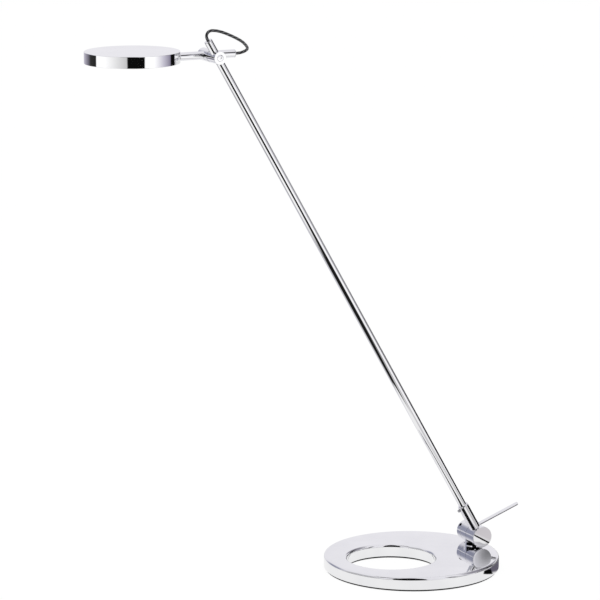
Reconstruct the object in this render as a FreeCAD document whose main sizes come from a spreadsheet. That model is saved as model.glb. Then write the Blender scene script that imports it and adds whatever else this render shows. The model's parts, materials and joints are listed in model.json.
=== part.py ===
import FreeCAD, Part
import os
import re
import math
import Sketcher

# Counterbalanced desk lamp: ring base, swivelling barrel, leaning arm, tilting disc head.
# Row frame in millimetres: origin on the table under the swivel post, +Z up,
# the arm leans towards -X, the barrel axis runs along Y with its polished cap at -Y.

os.makedirs("parts", exist_ok=True)
doc = FreeCAD.newDocument("balance_lamp")
sheet = doc.addObject("Spreadsheet::Sheet", "sizes")

SIZES = {
    # base
    "base_diameter": 200.0,
    "base_top": 16.0,
    "base_edge_round": 3.2,
    "base_under_bevel": 0.6,
    "base_hole_diameter": 101.0,
    "base_hole_offset": 26.5,
    "post_inset": 16.0,
    "swivel_rest": 2.0,
    "pad_thickness": 2.0,
    "pad_inset": 2.0,
    "recess_diameter": 25.0,
    "recess_depth": 7.0,
    "channel_width": 6.0,
    "channel_depth": 6.0,
    "gland_bearing": 50.0,
    "gland_height": 7.4,
    "gland_sleeve_diameter": 8.8,
    "gland_sleeve_length": 12.0,
    "gland_flange_diameter": 10.4,
    "gland_flange_thickness": 1.3,
    "mains_bore_diameter": 6.2,
    # fits
    "fit_gap": 0.05,
    "running_gap": 0.3,
    # swivel post
    "stud_diameter": 12.0,
    "bush_wall": 2.0,
    "bush_flange_diameter": 21.0,
    "bush_flange_thickness": 0.8,
    "post_washer_diameter": 23.0,
    "post_washer_thickness": 1.0,
    "post_nut_across_flats": 18.0,
    "post_nut_thickness": 4.2,
    "stud_proud": 0.4,
    "neck_diameter": 21.6,
    "wire_bore_diameter": 4.0,
    "wire_bore_offset": 3.4,
    # barrel
    "barrel_lift": 1.0,
    "barrel_diameter": 24.0,
    "barrel_length": 39.0,
    "barrel_edge": 0.25,
    "seam_place": -1.0,
    "front_cap_thickness": 1.6,
    "cap_boss_diameter": 8.0,
    "cap_boss_length": 1.2,
    "housing_length": 12.0,
    "housing_web": 3.6,
    "housing_bore_diameter": 19.0,
    "hub_washer_diameter": 18.6,
    "hub_washer_thickness": 1.1,
    "shaft_diameter": 8.0,
    "shaft_seat_depth": 5.7,
    "shaft_bush_diameter": 11.0,
    "collar_cavity_depth": 2.0,
    "collar_web": 1.8,
    "collar_screw_head_diameter": 7.6,
    "collar_screw_head_height": 2.0,
    "collar_screw_diameter": 4.0,
    "collar_screw_length": 6.0,
    "collar_screw_sink": 0.2,
    "collar_hex_diameter": 3.2,
    "spring_wire_diameter": 1.5,
    "spring_mean_diameter": 16.0,
    "spring_pitch": 1.95,
    "spring_turns": 4.0,
    # tension bar
    "bar_diameter": 4.0,
    "bar_place": 16.0,
    "bar_rise": 20.0,
    "bar_reach": 70.5,
    "bar_edge": 0.4,
    "bar_hole_floor": 5.0,
    "bar_holes": 3.0,
    # arm
    "arm_lean": 30.0,
    "arm_length": 660.0,
    "arm_place": -12.5,
    "tube_diameter": 9.0,
    "tube_wall": 1.0,
    "arm_stub": 21.5,
    "socket_diameter": 12.6,
    "socket_foot": 12.9,
    "socket_top": 45.0,
    "socket_edge": 0.4,
    "socket_tube_seat": 15.0,
    "stem_diameter": 8.0,
    "stem_end": 5.0,
    "stem_collar_diameter": 10.0,
    "stem_collar_height": 0.8,
    "clamp_screw_diameter": 3.5,
    "clamp_screw_place": 42.0,
    "clamp_screw_proud": 2.2,
    "hex_depth": 1.5,
    # tube end bushes and wiring
    "end_bush_rim": 1.0,
    "end_bush_bevel": 0.5,
    "end_bush_sleeve": 6.0,
    "wire_diameter": 3.2,
    "wire_gap": 0.1,
    "loop_lead": 4.3,
    # head pivot
    "pivot_diameter": 14.0,
    "pivot_edge": 0.3,
    "pivot_front": -20.5,
    "pivot_cap_thickness": 1.8,
    "pivot_seam": -1.2,
    "pivot_washer_thickness": 1.0,
    "pivot_washer_diameter": 13.2,
    "pivot_spigot_diameter": 8.0,
    "pivot_spigot_length": 7.2,
    "pivot_rear": 23.0,
    "pivot_screw_head_diameter": 7.0,
    "pivot_screw_head_height": 1.3,
    "pivot_screw_diameter": 3.0,
    "pivot_hex_diameter": 3.0,
    "pivot_hex_depth": 0.8,
    "drag_screw_diameter": 3.0,
    "drag_screw_place": 3.1,
    "drag_groove_depth": 0.8,
    "drag_groove_width": 1.8,
    # head
    "head_tube_place": 11.5,
    "tail_length": 32.0,
    "head_tube_reach": 34.0,
    "ferrule_length": 3.45,
    "ferrule_nose_diameter": 5.4,
    "ferrule_stud_diameter": 4.0,
    "ferrule_stud_clearance": 1.25,
    "ferrule_bore_diameter": 2.4,
    "head_diameter": 103.0,
    "head_height": 12.5,
    "head_edge": 0.3,
    "head_rise": 9.0,
    "head_wall": 6.0,
    "lens_seat_depth": 2.6,
    "lens_seat_ledge": 2.0,
    "cavity_depth": 8.0,
    "lens_thickness": 1.8,
    "bezel_lip": 2.4,
    "board_gap": 0.5,
    "board_thickness": 1.6,
    "board_screw_inset": 5.0,
    "board_screw_diameter": 3.0,
    "board_screw_head_diameter": 5.2,
    "board_screw_head_height": 1.4,
    "board_screws": 3.0,
    "board_screw_bearing": 60.0,
    "board_screw_bite": 2.5,
    "chip_length": 3.5,
    "chip_width": 2.8,
    "chip_height": 0.8,
    "chip_inset": 15.0,
    "chips": 16.0,
    "plug_length": 9.0,
    "plug_width": 6.0,
    "plug_height": 3.2,
    "plug_inset": 6.5,
}

# The free loop of cable from the arm tube to the head tube, in steps from the pivot centre.
# Both ends, with a straight lead out of each tube, are worked out from the sizes.
LOOP_POINTS = [
    (-11.9, -12.4, 26.6),
    (-8.4, -12.2, 29.2),
    (-2.4, -12.0, 29.1),
    (5.5, -11.6, 27.2),
    (14.0, -10.6, 23.9),
    (24.0, -8.4, 19.4),
    (33.2, -5.1, 14.7),
    (40.3, 0.1, 9.6),
    (44.6, 4.6, 5.6),
    (44.3, 8.5, 2.8),
    (40.9, 11.3, 0.7),
]


# The share of a straight run that the bend at its end may take.
BEND_SHARE = 0.45
TOLERANCE = 0.001


def set_up_sheet():
    for row, (alias, number) in enumerate(SIZES.items(), start=1):
        sheet.set("A%d" % row, alias)
        sheet.set("B%d" % row, str(number))
        sheet.setAlias("B%d" % row, alias)
    doc.recompute()


# Places that several sub-parts share, as formulas of the sizes.
PLACES = {
    "barrel_height": "(base_top + barrel_lift + barrel_diameter / 2)",
    "barrel_front": "(-barrel_length / 2)",
    "barrel_rear": "(barrel_length / 2)",
    "hub_front": "(barrel_front + front_cap_thickness)",
    "hub_rear": "(seam_place - running_gap)",
    "recess_floor": "(hub_rear + hub_washer_thickness)",
    "web_rear": "(recess_floor + housing_web)",
    "housing_rear": "(seam_place + housing_length)",
    "collar_front": "(housing_rear + running_gap)",
    "cavity_floor": "(collar_front + collar_cavity_depth)",
    "counterbore_floor": "(barrel_rear - collar_screw_head_height - collar_screw_sink)",
    "shaft_rear": "(counterbore_floor - collar_web)",
    "pivot_x": "(-arm_length * sin(arm_lean))",
    "pivot_z": "(barrel_height + arm_length * cos(arm_lean))",
    "pivot_hub_front": "(pivot_front + pivot_cap_thickness)",
    "pivot_hub_rear": "(pivot_rear - pivot_cap_thickness)",
    "head_hub_front": "(pivot_seam + pivot_washer_thickness)",
    "post_offset": "(base_diameter / 2 - post_inset)",
    "base_under": "pad_thickness",
    "recess_ceiling": "(base_under + recess_depth)",
    "bush_flange_under": "(recess_ceiling - bush_flange_thickness)",
    "washer_under": "(bush_flange_under - post_washer_thickness)",
    "nut_under": "(washer_under - post_nut_thickness)",
    "head_top": "(pivot_z + head_rise)",
    "head_x": "(pivot_x - head_tube_reach - ferrule_length - fit_gap - head_diameter / 2)",
    "lens_seat_diameter": "(head_diameter - 2 * head_wall)",
    "cavity_diameter": "(lens_seat_diameter - 2 * lens_seat_ledge)",
    "board_diameter": "(cavity_diameter - 2 * board_gap)",
    "screw_circle": "(board_diameter - 2 * board_screw_inset)",
    "chip_circle": "(board_diameter - 2 * chip_inset)",
    "plug_place": "(board_diameter / 2 - plug_inset)",
    "tube_bore": "(tube_diameter - 2 * tube_wall)",
    "wire_hole": "(wire_diameter + 2 * wire_gap)",
}


def formula(text):
    """Spells a size formula out in references to the sheet; a place may be made of other places."""
    while any(word in PLACES for word in re.findall(r"[a-z_]+", text)):
        text = re.sub(r"[a-z_]+", lambda word: PLACES.get(word.group(), word.group()), text)
    return re.sub(r"[a-z_]+", lambda word: "sizes." + word.group() if word.group() in SIZES
                  else word.group(), text)


def value(text):
    """The number that a size formula gives, in millimetres or degrees."""
    result = sheet.evalExpression(formula(text))
    return float(getattr(result, "Value", result))


def bind(obj, prop, text):
    obj.setExpression(prop, formula(text))


AXES = {"x": FreeCAD.Vector(1, 0, 0), "y": FreeCAD.Vector(0, 1, 0), "z": FreeCAD.Vector(0, 0, 1)}


def place(obj, base, axis="z", angle="0"):
    """Puts an object at base, a triple of formulas, turned by angle about a row axis."""
    turn = FreeCAD.Rotation(AXES[axis], value(angle))
    obj.Placement = FreeCAD.Placement(FreeCAD.Vector(*[value(text) for text in base]), turn)
    for letter, text in zip("xyz", base):
        bind(obj, "Placement.Base." + letter, text)
    if value(angle) != 0:
        bind(obj, "Placement.Rotation.Angle", angle)


# Frames in which the turned sub-parts stand: their own Z is the turning axis.
BASE = (("-post_offset * cos(swivel_rest)", "-post_offset * sin(swivel_rest)", "0"), "z", "swivel_rest")
POST = (("0", "0", "0"), "z", "0")
BARREL = (("0", "0", "barrel_height"), "x", "-90")
ARM = (("0", "arm_place", "barrel_height"), "y", "-arm_lean")
PIVOT = (("pivot_x", "0", "pivot_z"), "x", "-90")
HEAD_TUBE = (("pivot_x", "head_tube_place", "pivot_z"), "y", "-90")
HEAD = (("head_x", "head_tube_place", "head_top"), "z", "0")


def new_body(name, frame):
    body = doc.addObject("PartDesign::Body", name)
    body.Label = name
    place(body, *frame)
    return body


def origin_plane(body, role):
    return [item for item in body.Origin.OriginFeatures if item.Role == role][0]


def new_sketch(body, name, role, height="0"):
    sketch = body.newObject("Sketcher::SketchObject", name)
    sketch.AttachmentSupport = [(origin_plane(body, role), "")]
    sketch.MapMode = "FlatFace"
    if height != "0":
        bind(sketch, "AttachmentOffset.Base.z", height)
    return sketch


def pin_point(sketch, geometry, end, across, along):
    """Fixes one point of a sketch at a pair of formulas."""
    for kind, text, axis in (("DistanceX", across, -2), ("DistanceY", along, -1)):
        if text == "0":
            sketch.addConstraint(Sketcher.Constraint("PointOnObject", geometry, end, axis))
            continue
        index = sketch.addConstraint(Sketcher.Constraint(kind, -1, 1, geometry, end, value(text)))
        bind(sketch, "Constraints[%d]" % index, text)


def outline(sketch, points):
    """A closed outline of straight sides through points given as pairs of formulas."""
    corners = [FreeCAD.Vector(value(across), value(along), 0) for across, along in points]
    count = len(corners)
    for i in range(count):
        sketch.addGeometry(Part.LineSegment(corners[i], corners[(i + 1) % count]), False)
    for i in range(count):
        sketch.addConstraint(Sketcher.Constraint("Coincident", i, 2, (i + 1) % count, 1))
    for i, (across, along) in enumerate(points):
        pin_point(sketch, i, 1, across, along)


def circle(sketch, diameter, across="0", along="0"):
    """A circle whose diameter and centre are formulas."""
    centre = FreeCAD.Vector(value(across), value(along), 0)
    index = sketch.addGeometry(Part.Circle(centre, AXES["z"], value(diameter) / 2), False)
    pin_point(sketch, index, 3, across, along)
    size = sketch.addConstraint(Sketcher.Constraint("Diameter", index, value(diameter)))
    bind(sketch, "Constraints[%d]" % size, diameter)


def turned(name, frame, points):
    """A lathe-turned sub-part: radius and height pairs swept round the frame's Z."""
    body = new_body(name, frame)
    sketch = new_sketch(body, name + "_profile", "XZ_Plane")
    outline(sketch, points)
    revolution = body.newObject("PartDesign::Revolution", name + "_turn")
    revolution.Profile = sketch
    revolution.ReferenceAxis = (sketch, ["V_Axis"])
    revolution.Angle = 360.0
    body.Tip = revolution
    return body


def ring(name, frame, outer, inner, low, high, edge="0"):
    """A turned tube or disc between two heights; its top and bottom rims have a bevel of edge."""
    outer = "(%s) / 2" % outer
    points = [(outer, low), (outer, high)]
    if edge != "0":
        points = [("%s - %s" % (outer, edge), low), (outer, "%s + %s" % (low, edge)),
                  (outer, "%s - %s" % (high, edge)), ("%s - %s" % (outer, edge), high)]
    inner = "0" if inner == "0" else "(%s) / 2" % inner
    return turned(name, frame, [(inner, low)] + points + [(inner, high)])


def padded(body, name, sketch, length):
    pad = body.newObject("PartDesign::Pad", name)
    pad.Profile = sketch
    bind(pad, "Length", length)
    body.Tip = pad
    return pad


def pocketed(body, name, sketch, depth):
    """A pocket upwards from its sketch; without depth it goes right through."""
    pocket = body.newObject("PartDesign::Pocket", name)
    pocket.Profile = sketch
    pocket.Reversed = True
    if depth:
        bind(pocket, "Length", depth)
    else:
        pocket.Type = "ThroughAll"
    body.Tip = pocket
    return pocket


def rod(name, diameter, length, base, axis, angle):
    """A plain round bar from base along the turned Z axis, used as a tool or a stretch of wire."""
    bar = doc.addObject("Part::Cylinder", name)
    bind(bar, "Radius", "(%s) / 2" % diameter)
    bind(bar, "Height", length)
    place(bar, base, axis, angle)
    return bar


def block(name, length, width, height, base, axis="z", angle="0"):
    box = doc.addObject("Part::Box", name)
    for prop, text in (("Length", length), ("Width", width), ("Height", height)):
        bind(box, prop, text)
    place(box, base, axis, angle)
    return box


def joined(name, shapes):
    fuse = doc.addObject("Part::MultiFuse", name)
    fuse.Shapes = shapes
    fuse.Label = name
    return fuse


def cut(name, base, tools):
    """The base less its tools, under the node's name."""
    base.Label = name + "_blank"
    tool = tools[0] if len(tools) == 1 else joined(name + "_tools", tools)
    result = doc.addObject("Part::Cut", name + "_cut")
    result.Base = base
    result.Tool = tool
    result.Label = name
    return result


def grouped(name, shapes):
    """Separate solids that share one node, such as a set of equal screws."""
    group = doc.addObject("Part::Compound", name)
    group.Links = shapes
    group.Label = name
    return group


def along_arm(distance, across="0"):
    """A point of the arm's centre line, and across it towards the head side."""
    return ("-(%s) * sin(arm_lean) - (%s) * cos(arm_lean)" % (distance, across), "arm_place",
            "barrel_height + (%s) * cos(arm_lean) - (%s) * sin(arm_lean)" % (distance, across))


# ---- base ---------------------------------------------------------------------------------

def rim_edges(shape, height, radii):
    """Names of the whole-circle edges at a height whose radius is one of radii."""
    names = []
    for number, edge in enumerate(shape.Edges, start=1):
        curve = edge.Curve
        if not isinstance(curve, Part.Circle) or abs(curve.Center.z - height) > TOLERANCE:
            continue
        if any(abs(curve.Radius - radius) < TOLERANCE for radius in radii):
            names.append("Edge%d" % number)
    return names


def make_base_ring():
    body = new_body("base_ring_turning", BASE)
    plan = new_sketch(body, "base_plan", "XY_Plane", "base_under")
    circle(plan, "base_diameter")
    circle(plan, "base_hole_diameter", "-base_hole_offset")
    padded(body, "base_plate", plan, "base_top - base_under")
    recess = new_sketch(body, "recess_plan", "XY_Plane", "base_under")
    circle(recess, "recess_diameter", "post_offset")
    pocketed(body, "nut_recess", recess, "recess_depth")
    bore = new_sketch(body, "bush_plan", "XY_Plane", "base_under")
    circle(bore, "stud_diameter + 2 * bush_wall + 4 * fit_gap", "post_offset")
    last = pocketed(body, "bush_bore", bore, None)
    doc.recompute()
    radii = (value("base_diameter / 2"), value("base_hole_diameter / 2"))
    rounding = body.newObject("PartDesign::Fillet", "top_rounding")
    rounding.Base = (last, rim_edges(last.Shape, value("base_top"), radii))
    bind(rounding, "Radius", "base_edge_round")
    body.Tip = rounding
    doc.recompute()
    bevel = body.newObject("PartDesign::Chamfer", "under_bevel")
    bevel.Base = (rounding, rim_edges(rounding.Shape, value("base_under"), radii))
    bind(bevel, "Size", "base_under_bevel")
    body.Tip = bevel

    gland_radius = "(base_diameter / 2 - gland_sleeve_length)"
    gland_x = "%s * cos(gland_bearing)" % gland_radius
    gland_y = "%s * sin(gland_bearing)" % gland_radius
    run = "hypot(%s; post_offset - %s)" % (gland_y, gland_x)
    bearing = "(swivel_rest + 180 - atan2(%s; post_offset - %s) / (1 deg))" % (gland_y, gland_x)
    start = ("channel_width / 2 * sin%s" % bearing, "-channel_width / 2 * cos%s" % bearing, "0")
    channel = block("wire_channel", run, "channel_width", "base_under + channel_depth", start, "z", bearing)
    mouth = rod("gland_bore", "gland_sleeve_diameter + 2 * fit_gap", "gland_sleeve_length * 2",
                base_rim_point(gland_radius), "z", "0")
    turn_outwards(mouth)
    return cut("base_ring", body, [channel, mouth])


def base_rim_point(radius):
    """A point at the gland's bearing and height, at a radius from the base's centre."""
    bearing = "(gland_bearing + swivel_rest)"
    return ("-post_offset * cos(swivel_rest) + %s * cos%s" % (radius, bearing),
            "-post_offset * sin(swivel_rest) + %s * sin%s" % (radius, bearing), "gland_height")


def turn_outwards(obj):
    """Turns an object's Z axis level and outwards at the gland's bearing."""
    level = FreeCAD.Rotation(AXES["y"], 90)
    bearing = FreeCAD.Rotation(AXES["z"], value("gland_bearing + swivel_rest"))
    obj.Placement = FreeCAD.Placement(obj.Placement.Base, bearing.multiply(level))


def make_foot_pad():
    body = new_body("foot_pad", BASE)
    plan = new_sketch(body, "pad_plan", "XY_Plane")
    circle(plan, "base_diameter - 2 * pad_inset")
    circle(plan, "base_hole_diameter + 2 * pad_inset", "-base_hole_offset")
    padded(body, "pad_sheet", plan, "pad_thickness")
    return body


def make_swivel_bush():
    bore = "stud_diameter / 2 + fit_gap"
    sleeve = "stud_diameter / 2 + fit_gap + bush_wall"
    flange = "bush_flange_diameter / 2"
    return turned("swivel_bush", POST, [
        (bore, "bush_flange_under"), (flange, "bush_flange_under"), (flange, "recess_ceiling"),
        (sleeve, "recess_ceiling"), (sleeve, "base_top"), (bore, "base_top")])


def make_cable_gland():
    rim = base_rim_point("base_diameter / 2")
    body = turned("cable_gland", (rim, "z", "0"), [
        ("mains_bore_diameter / 2", "-gland_sleeve_length"),
        ("gland_sleeve_diameter / 2", "-gland_sleeve_length"),
        ("gland_sleeve_diameter / 2", "fit_gap"),
        ("gland_flange_diameter / 2", "fit_gap"),
        ("gland_flange_diameter / 2", "gland_flange_thickness / 2"),
        ("gland_sleeve_diameter / 2", "gland_flange_thickness"),
        ("mains_bore_diameter / 2", "gland_flange_thickness")])
    turn_outwards(body)
    return body


# ---- swivel: post and fixed middle of the barrel --------------------------------------------

def make_barrel_housing():
    drum = ring("housing_drum", BARREL, "barrel_diameter", "0", "seam_place", "housing_rear")
    stem = turned("housing_stem", POST, [
        ("0", "nut_under - stud_proud"), ("stud_diameter / 2", "nut_under - stud_proud"),
        ("stud_diameter / 2", "base_top"), ("neck_diameter / 2", "base_top"),
        ("neck_diameter / 2", "barrel_height"), ("0", "barrel_height")])
    clear_width = "neck_diameter + 2 * running_gap"
    hub_relief = block("hub_relief", clear_width, "neck_diameter", "barrel_diameter",
                       ("-(%s) / 2" % clear_width, "seam_place - neck_diameter",
                        "base_top + barrel_lift - running_gap"))
    core = turned("housing_core", BARREL, [
        ("0", "hub_rear"), ("hub_washer_diameter / 2 + fit_gap", "hub_rear"),
        ("hub_washer_diameter / 2 + fit_gap", "recess_floor"),
        ("shaft_bush_diameter / 2 + fit_gap", "recess_floor"),
        ("shaft_bush_diameter / 2 + fit_gap", "web_rear"),
        ("housing_bore_diameter / 2", "web_rear"),
        ("housing_bore_diameter / 2", "housing_rear + running_gap"),
        ("0", "housing_rear + running_gap")])
    wire_way = rod("wire_way", "wire_bore_diameter", "base_top",
                   ("0", "wire_bore_offset", "base_under"), "z", "0")
    return cut("barrel_housing", joined("housing_solid", [drum, stem]), [hub_relief, core, wire_way])


def make_post_nut():
    body = new_body("post_nut", POST)
    plan = new_sketch(body, "nut_plan", "XY_Plane", "nut_under")
    half = "post_nut_across_flats / 2"
    side = "post_nut_across_flats / 2 * tan(30)"
    corner = "post_nut_across_flats / 2 / cos(30)"
    outline(plan, [(corner, "0"), (side, half), ("-" + side, half),
                   ("-" + corner, "0"), ("-" + side, "-" + half), (side, "-" + half)])
    circle(plan, "stud_diameter + 2 * fit_gap")
    padded(body, "nut_blank", plan, "post_nut_thickness")
    return body


def make_torsion_spring():
    """A wound spring round the shaft, in the bore behind the housing's web."""
    wire = value("spring_wire_diameter")
    radius = value("spring_mean_diameter / 2")
    pitch = value("spring_pitch")
    helix = Part.makeHelix(pitch, pitch * value("spring_turns"), radius)
    section = Part.Wire(Part.makeCircle(wire / 2, FreeCAD.Vector(radius, 0, 0), AXES["y"]))
    coil = Part.Wire(helix.Edges).makePipeShell([section], True, True)
    spring = doc.addObject("Part::Feature", "torsion_spring")
    spring.Shape = coil
    start = value("web_rear + running_gap + spring_wire_diameter / 2")
    along = FreeCAD.Rotation(AXES["x"], -90)
    spring.Placement = FreeCAD.Placement(
        FreeCAD.Vector(0, start, value("barrel_height")), along)
    return spring


def make_swivel():
    return [
        make_barrel_housing(),
        ring("post_washer", POST, "post_washer_diameter", "stud_diameter + 2 * fit_gap",
             "washer_under", "bush_flange_under"),
        make_post_nut(),
        ring("shaft_bush", BARREL, "shaft_bush_diameter", "shaft_diameter + 2 * fit_gap",
             "recess_floor", "web_rear"),
        make_torsion_spring(),
    ]


# ---- arm ------------------------------------------------------------------------------------

def make_arm_hub():
    outer = "barrel_diameter / 2"
    drum = turned("hub_drum", BARREL, [
        ("0", "hub_front + cap_boss_length + fit_gap"),
        ("cap_boss_diameter / 2 + fit_gap", "hub_front + cap_boss_length + fit_gap"),
        ("cap_boss_diameter / 2 + fit_gap", "hub_front"),
        (outer, "hub_front"), (outer, "hub_rear"),
        ("shaft_diameter / 2 + fit_gap", "hub_rear"),
        ("shaft_diameter / 2 + fit_gap", "hub_rear - shaft_seat_depth - fit_gap"),
        ("0", "hub_rear - shaft_seat_depth - fit_gap")])
    stem_hole = rod("stem_hole", "stem_diameter + 2 * fit_gap", "barrel_diameter",
                    along_arm("stem_end - fit_gap"), "y", "-arm_lean")
    return cut("arm_hub", drum, [stem_hole])


def make_front_cap():
    rim = "barrel_diameter / 2"
    return turned("front_cap", BARREL, [
        ("0", "barrel_front"), ("%s - barrel_edge" % rim, "barrel_front"),
        (rim, "barrel_front + barrel_edge"), (rim, "hub_front"),
        ("cap_boss_diameter / 2", "hub_front"),
        ("cap_boss_diameter / 2", "hub_front + cap_boss_length"),
        ("0", "hub_front + cap_boss_length")])


def make_main_shaft():
    tapped = "collar_screw_diameter / 2 + fit_gap"
    return turned("main_shaft", BARREL, [
        ("0", "hub_rear - shaft_seat_depth"), ("shaft_diameter / 2", "hub_rear - shaft_seat_depth"),
        ("shaft_diameter / 2", "shaft_rear"), (tapped, "shaft_rear"),
        (tapped, "shaft_rear + collar_web - collar_screw_length - fit_gap"),
        ("0", "shaft_rear + collar_web - collar_screw_length - fit_gap")])


def make_collar_screw():
    head = "collar_screw_head_diameter / 2"
    shank = "collar_screw_diameter / 2"
    top = "counterbore_floor + collar_screw_head_height"
    return turned("collar_screw", BARREL, [
        ("0", "counterbore_floor - collar_screw_length"), (shank, "counterbore_floor - collar_screw_length"),
        (shank, "counterbore_floor"), (head, "counterbore_floor"), (head, top),
        ("collar_hex_diameter / 2", top), ("collar_hex_diameter / 2", "%s - pivot_hex_depth" % top),
        ("0", "%s - pivot_hex_depth" % top)])


def make_arm_socket():
    outer = "socket_diameter / 2"
    tube_seat = "tube_diameter / 2 + fit_gap"
    way = "wire_hole / 2"
    body = turned("socket_turning", ARM, [
        (way, "stem_end"), ("stem_diameter / 2", "stem_end"),
        ("stem_diameter / 2", "socket_foot - stem_collar_height"),
        ("stem_collar_diameter / 2", "socket_foot - stem_collar_height"),
        ("stem_collar_diameter / 2", "socket_foot"),
        ("%s - socket_edge" % outer, "socket_foot"), (outer, "socket_foot + socket_edge"),
        (outer, "socket_top - socket_edge"), ("%s - socket_edge" % outer, "socket_top"),
        (tube_seat, "socket_top"), (tube_seat, "socket_tube_seat"), (way, "socket_tube_seat")])
    screw_hole = rod("socket_screw_hole", "clamp_screw_diameter + 2 * fit_gap", "socket_diameter",
                     along_arm("clamp_screw_place"), "y", "-arm_lean - 90")
    return cut("arm_socket", body, [screw_hole])


def make_clamp_screw():
    outer = "clamp_screw_diameter / 2"
    inner_end = "tube_diameter / 2 + fit_gap"
    proud_end = "socket_diameter / 2 + clamp_screw_proud"
    return turned("clamp_screw", (along_arm("clamp_screw_place"), "y", "-arm_lean - 90"), [
        ("0", inner_end), (outer, inner_end), (outer, proud_end),
        (outer + " / 2", proud_end), (outer + " / 2", "%s - hex_depth" % proud_end),
        ("0", "%s - hex_depth" % proud_end)])


def end_bush(name, frame, tube_end, outwards):
    """A plated bush in a tube's end: rim outside, sleeve inside, hole for the cable."""
    rim = "tube_diameter / 2"
    sleeve = "tube_bore / 2 - fit_gap"
    hole = "wire_hole / 2"
    face = "%s %s end_bush_rim" % (tube_end, outwards)
    inwards = "-" if outwards == "+" else "+"
    return turned(name, frame, [
        (hole, face), (rim + " - end_bush_bevel", face),
        (rim, "%s %s end_bush_bevel" % (face, inwards)), (rim, tube_end), (sleeve, tube_end),
        (sleeve, "%s %s end_bush_sleeve" % (tube_end, inwards)),
        (hole, "%s %s end_bush_sleeve" % (tube_end, inwards))])


def pivot_cap(name, face, back, thickness_sign):
    """One end cap of the head pivot, counterbored for its socket screw."""
    rim = "pivot_diameter / 2"
    seat = "pivot_screw_head_diameter / 2 + fit_gap"
    seat_floor = "%s %s (pivot_screw_head_height + fit_gap)" % (face, thickness_sign)
    hole = "pivot_screw_diameter / 2 + fit_gap"
    return turned(name, PIVOT, [
        (seat, face), (rim + " - pivot_edge", face),
        (rim, "%s %s pivot_edge" % (face, thickness_sign)), (rim, back), (hole, back),
        (hole, seat_floor), (seat, seat_floor)])


def pivot_screw(name, face, tip, inwards):
    """A socket screw through a pivot cap whose tip bears on the tube."""
    head = "pivot_screw_head_diameter / 2"
    shank = "pivot_screw_diameter / 2"
    under_head = "%s %s pivot_screw_head_height" % (face, inwards)
    hex_floor = "%s %s pivot_hex_depth" % (face, inwards)
    hex_way = "pivot_hex_diameter / 2"
    return turned(name, PIVOT, [
        ("0", hex_floor), (hex_way, hex_floor), (hex_way, face),
        (head, face), (head, under_head), (shank, under_head), (shank, tip), ("0", tip)])


def make_pivot_arm_hub():
    outer = "pivot_diameter / 2"
    spigot = "pivot_spigot_diameter / 2"
    groove = "pivot_spigot_diameter / 2 - drag_groove_depth"
    body = turned("pivot_arm_turning", PIVOT, [
        ("0", "pivot_hub_front"), (outer, "pivot_hub_front"), (outer, "pivot_seam"),
        (spigot, "pivot_seam"), (spigot, "drag_screw_place - drag_groove_width"),
        (groove, "drag_screw_place - drag_groove_width"),
        (groove, "drag_screw_place + drag_groove_width"),
        (spigot, "drag_screw_place + drag_groove_width"),
        (spigot, "pivot_seam + pivot_spigot_length"), ("0", "pivot_seam + pivot_spigot_length")])
    tube_hole = rod("arm_cross_bore", "tube_diameter + 2 * fit_gap", "2 * pivot_diameter",
                    along_arm("arm_length - pivot_diameter"), "y", "-arm_lean")
    screw_hole = rod("front_screw_bore", "pivot_screw_diameter + 2 * fit_gap",
                     "arm_place - pivot_front", ("pivot_x", "pivot_front", "pivot_z"), "x", "-90")
    return cut("pivot_arm_hub", body, [tube_hole, screw_hole])


def make_arm():
    stub_end = "arm_length + arm_stub"
    tube_end = "%s - end_bush_rim" % stub_end
    tube_front = "arm_place - tube_diameter / 2 - fit_gap"
    return [
        make_arm_hub(),
        make_front_cap(),
        make_main_shaft(),
        make_collar_screw(),
        ring("hub_washer", BARREL, "hub_washer_diameter", "shaft_diameter + 2 * fit_gap",
             "hub_rear", "recess_floor"),
        make_arm_socket(),
        make_clamp_screw(),
        ring("arm_tube", ARM, "tube_diameter", "tube_bore", "socket_tube_seat", tube_end),
        end_bush("arm_tube_bush", ARM, tube_end, "+"),
        ring("arm_wire", ARM, "wire_diameter", "0", "socket_tube_seat", stub_end),
        make_pivot_arm_hub(),
        pivot_cap("pivot_front_cap", "pivot_front", "pivot_hub_front", "+"),
        pivot_screw("pivot_front_screw", "pivot_front", tube_front, "+"),
    ]


# ---- tension collar and its bar ---------------------------------------------------------------

def make_tension_collar():
    outer = "barrel_diameter / 2"
    shaft_way = "shaft_diameter / 2 + fit_gap"
    screw_way = "collar_screw_diameter / 2 + fit_gap"
    head_way = "collar_screw_head_diameter / 2 + fit_gap"
    drum = turned("collar_drum", BARREL, [
        ("housing_bore_diameter / 2", "collar_front"), (outer, "collar_front"),
        (outer, "barrel_rear - barrel_edge"), (outer + " - barrel_edge", "barrel_rear"),
        (head_way, "barrel_rear"), (head_way, "counterbore_floor"),
        (screw_way, "counterbore_floor"), (screw_way, "shaft_rear + fit_gap"),
        (shaft_way, "shaft_rear + fit_gap"), (shaft_way, "cavity_floor"),
        ("housing_bore_diameter / 2", "cavity_floor")])
    holes = []
    count = int(SIZES["bar_holes"])
    for i in range(count):
        rise = "(bar_rise + %d * 360 / bar_holes)" % i
        holes.append(rod("bar_hole_%d" % i, "bar_diameter + 2 * fit_gap", "barrel_diameter",
                         ("bar_hole_floor * cos%s" % rise, "bar_place",
                          "barrel_height + bar_hole_floor * sin%s" % rise), "y", "90 - " + rise))
    return cut("tension_collar", drum, holes)


def make_tension_bar():
    foot = "bar_hole_floor + fit_gap"
    return ring("tension_bar", (("0", "bar_place", "barrel_height"), "y", "90 - bar_rise"),
                "bar_diameter", "0", foot, "bar_reach", "bar_edge")


# ---- head -------------------------------------------------------------------------------------

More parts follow.
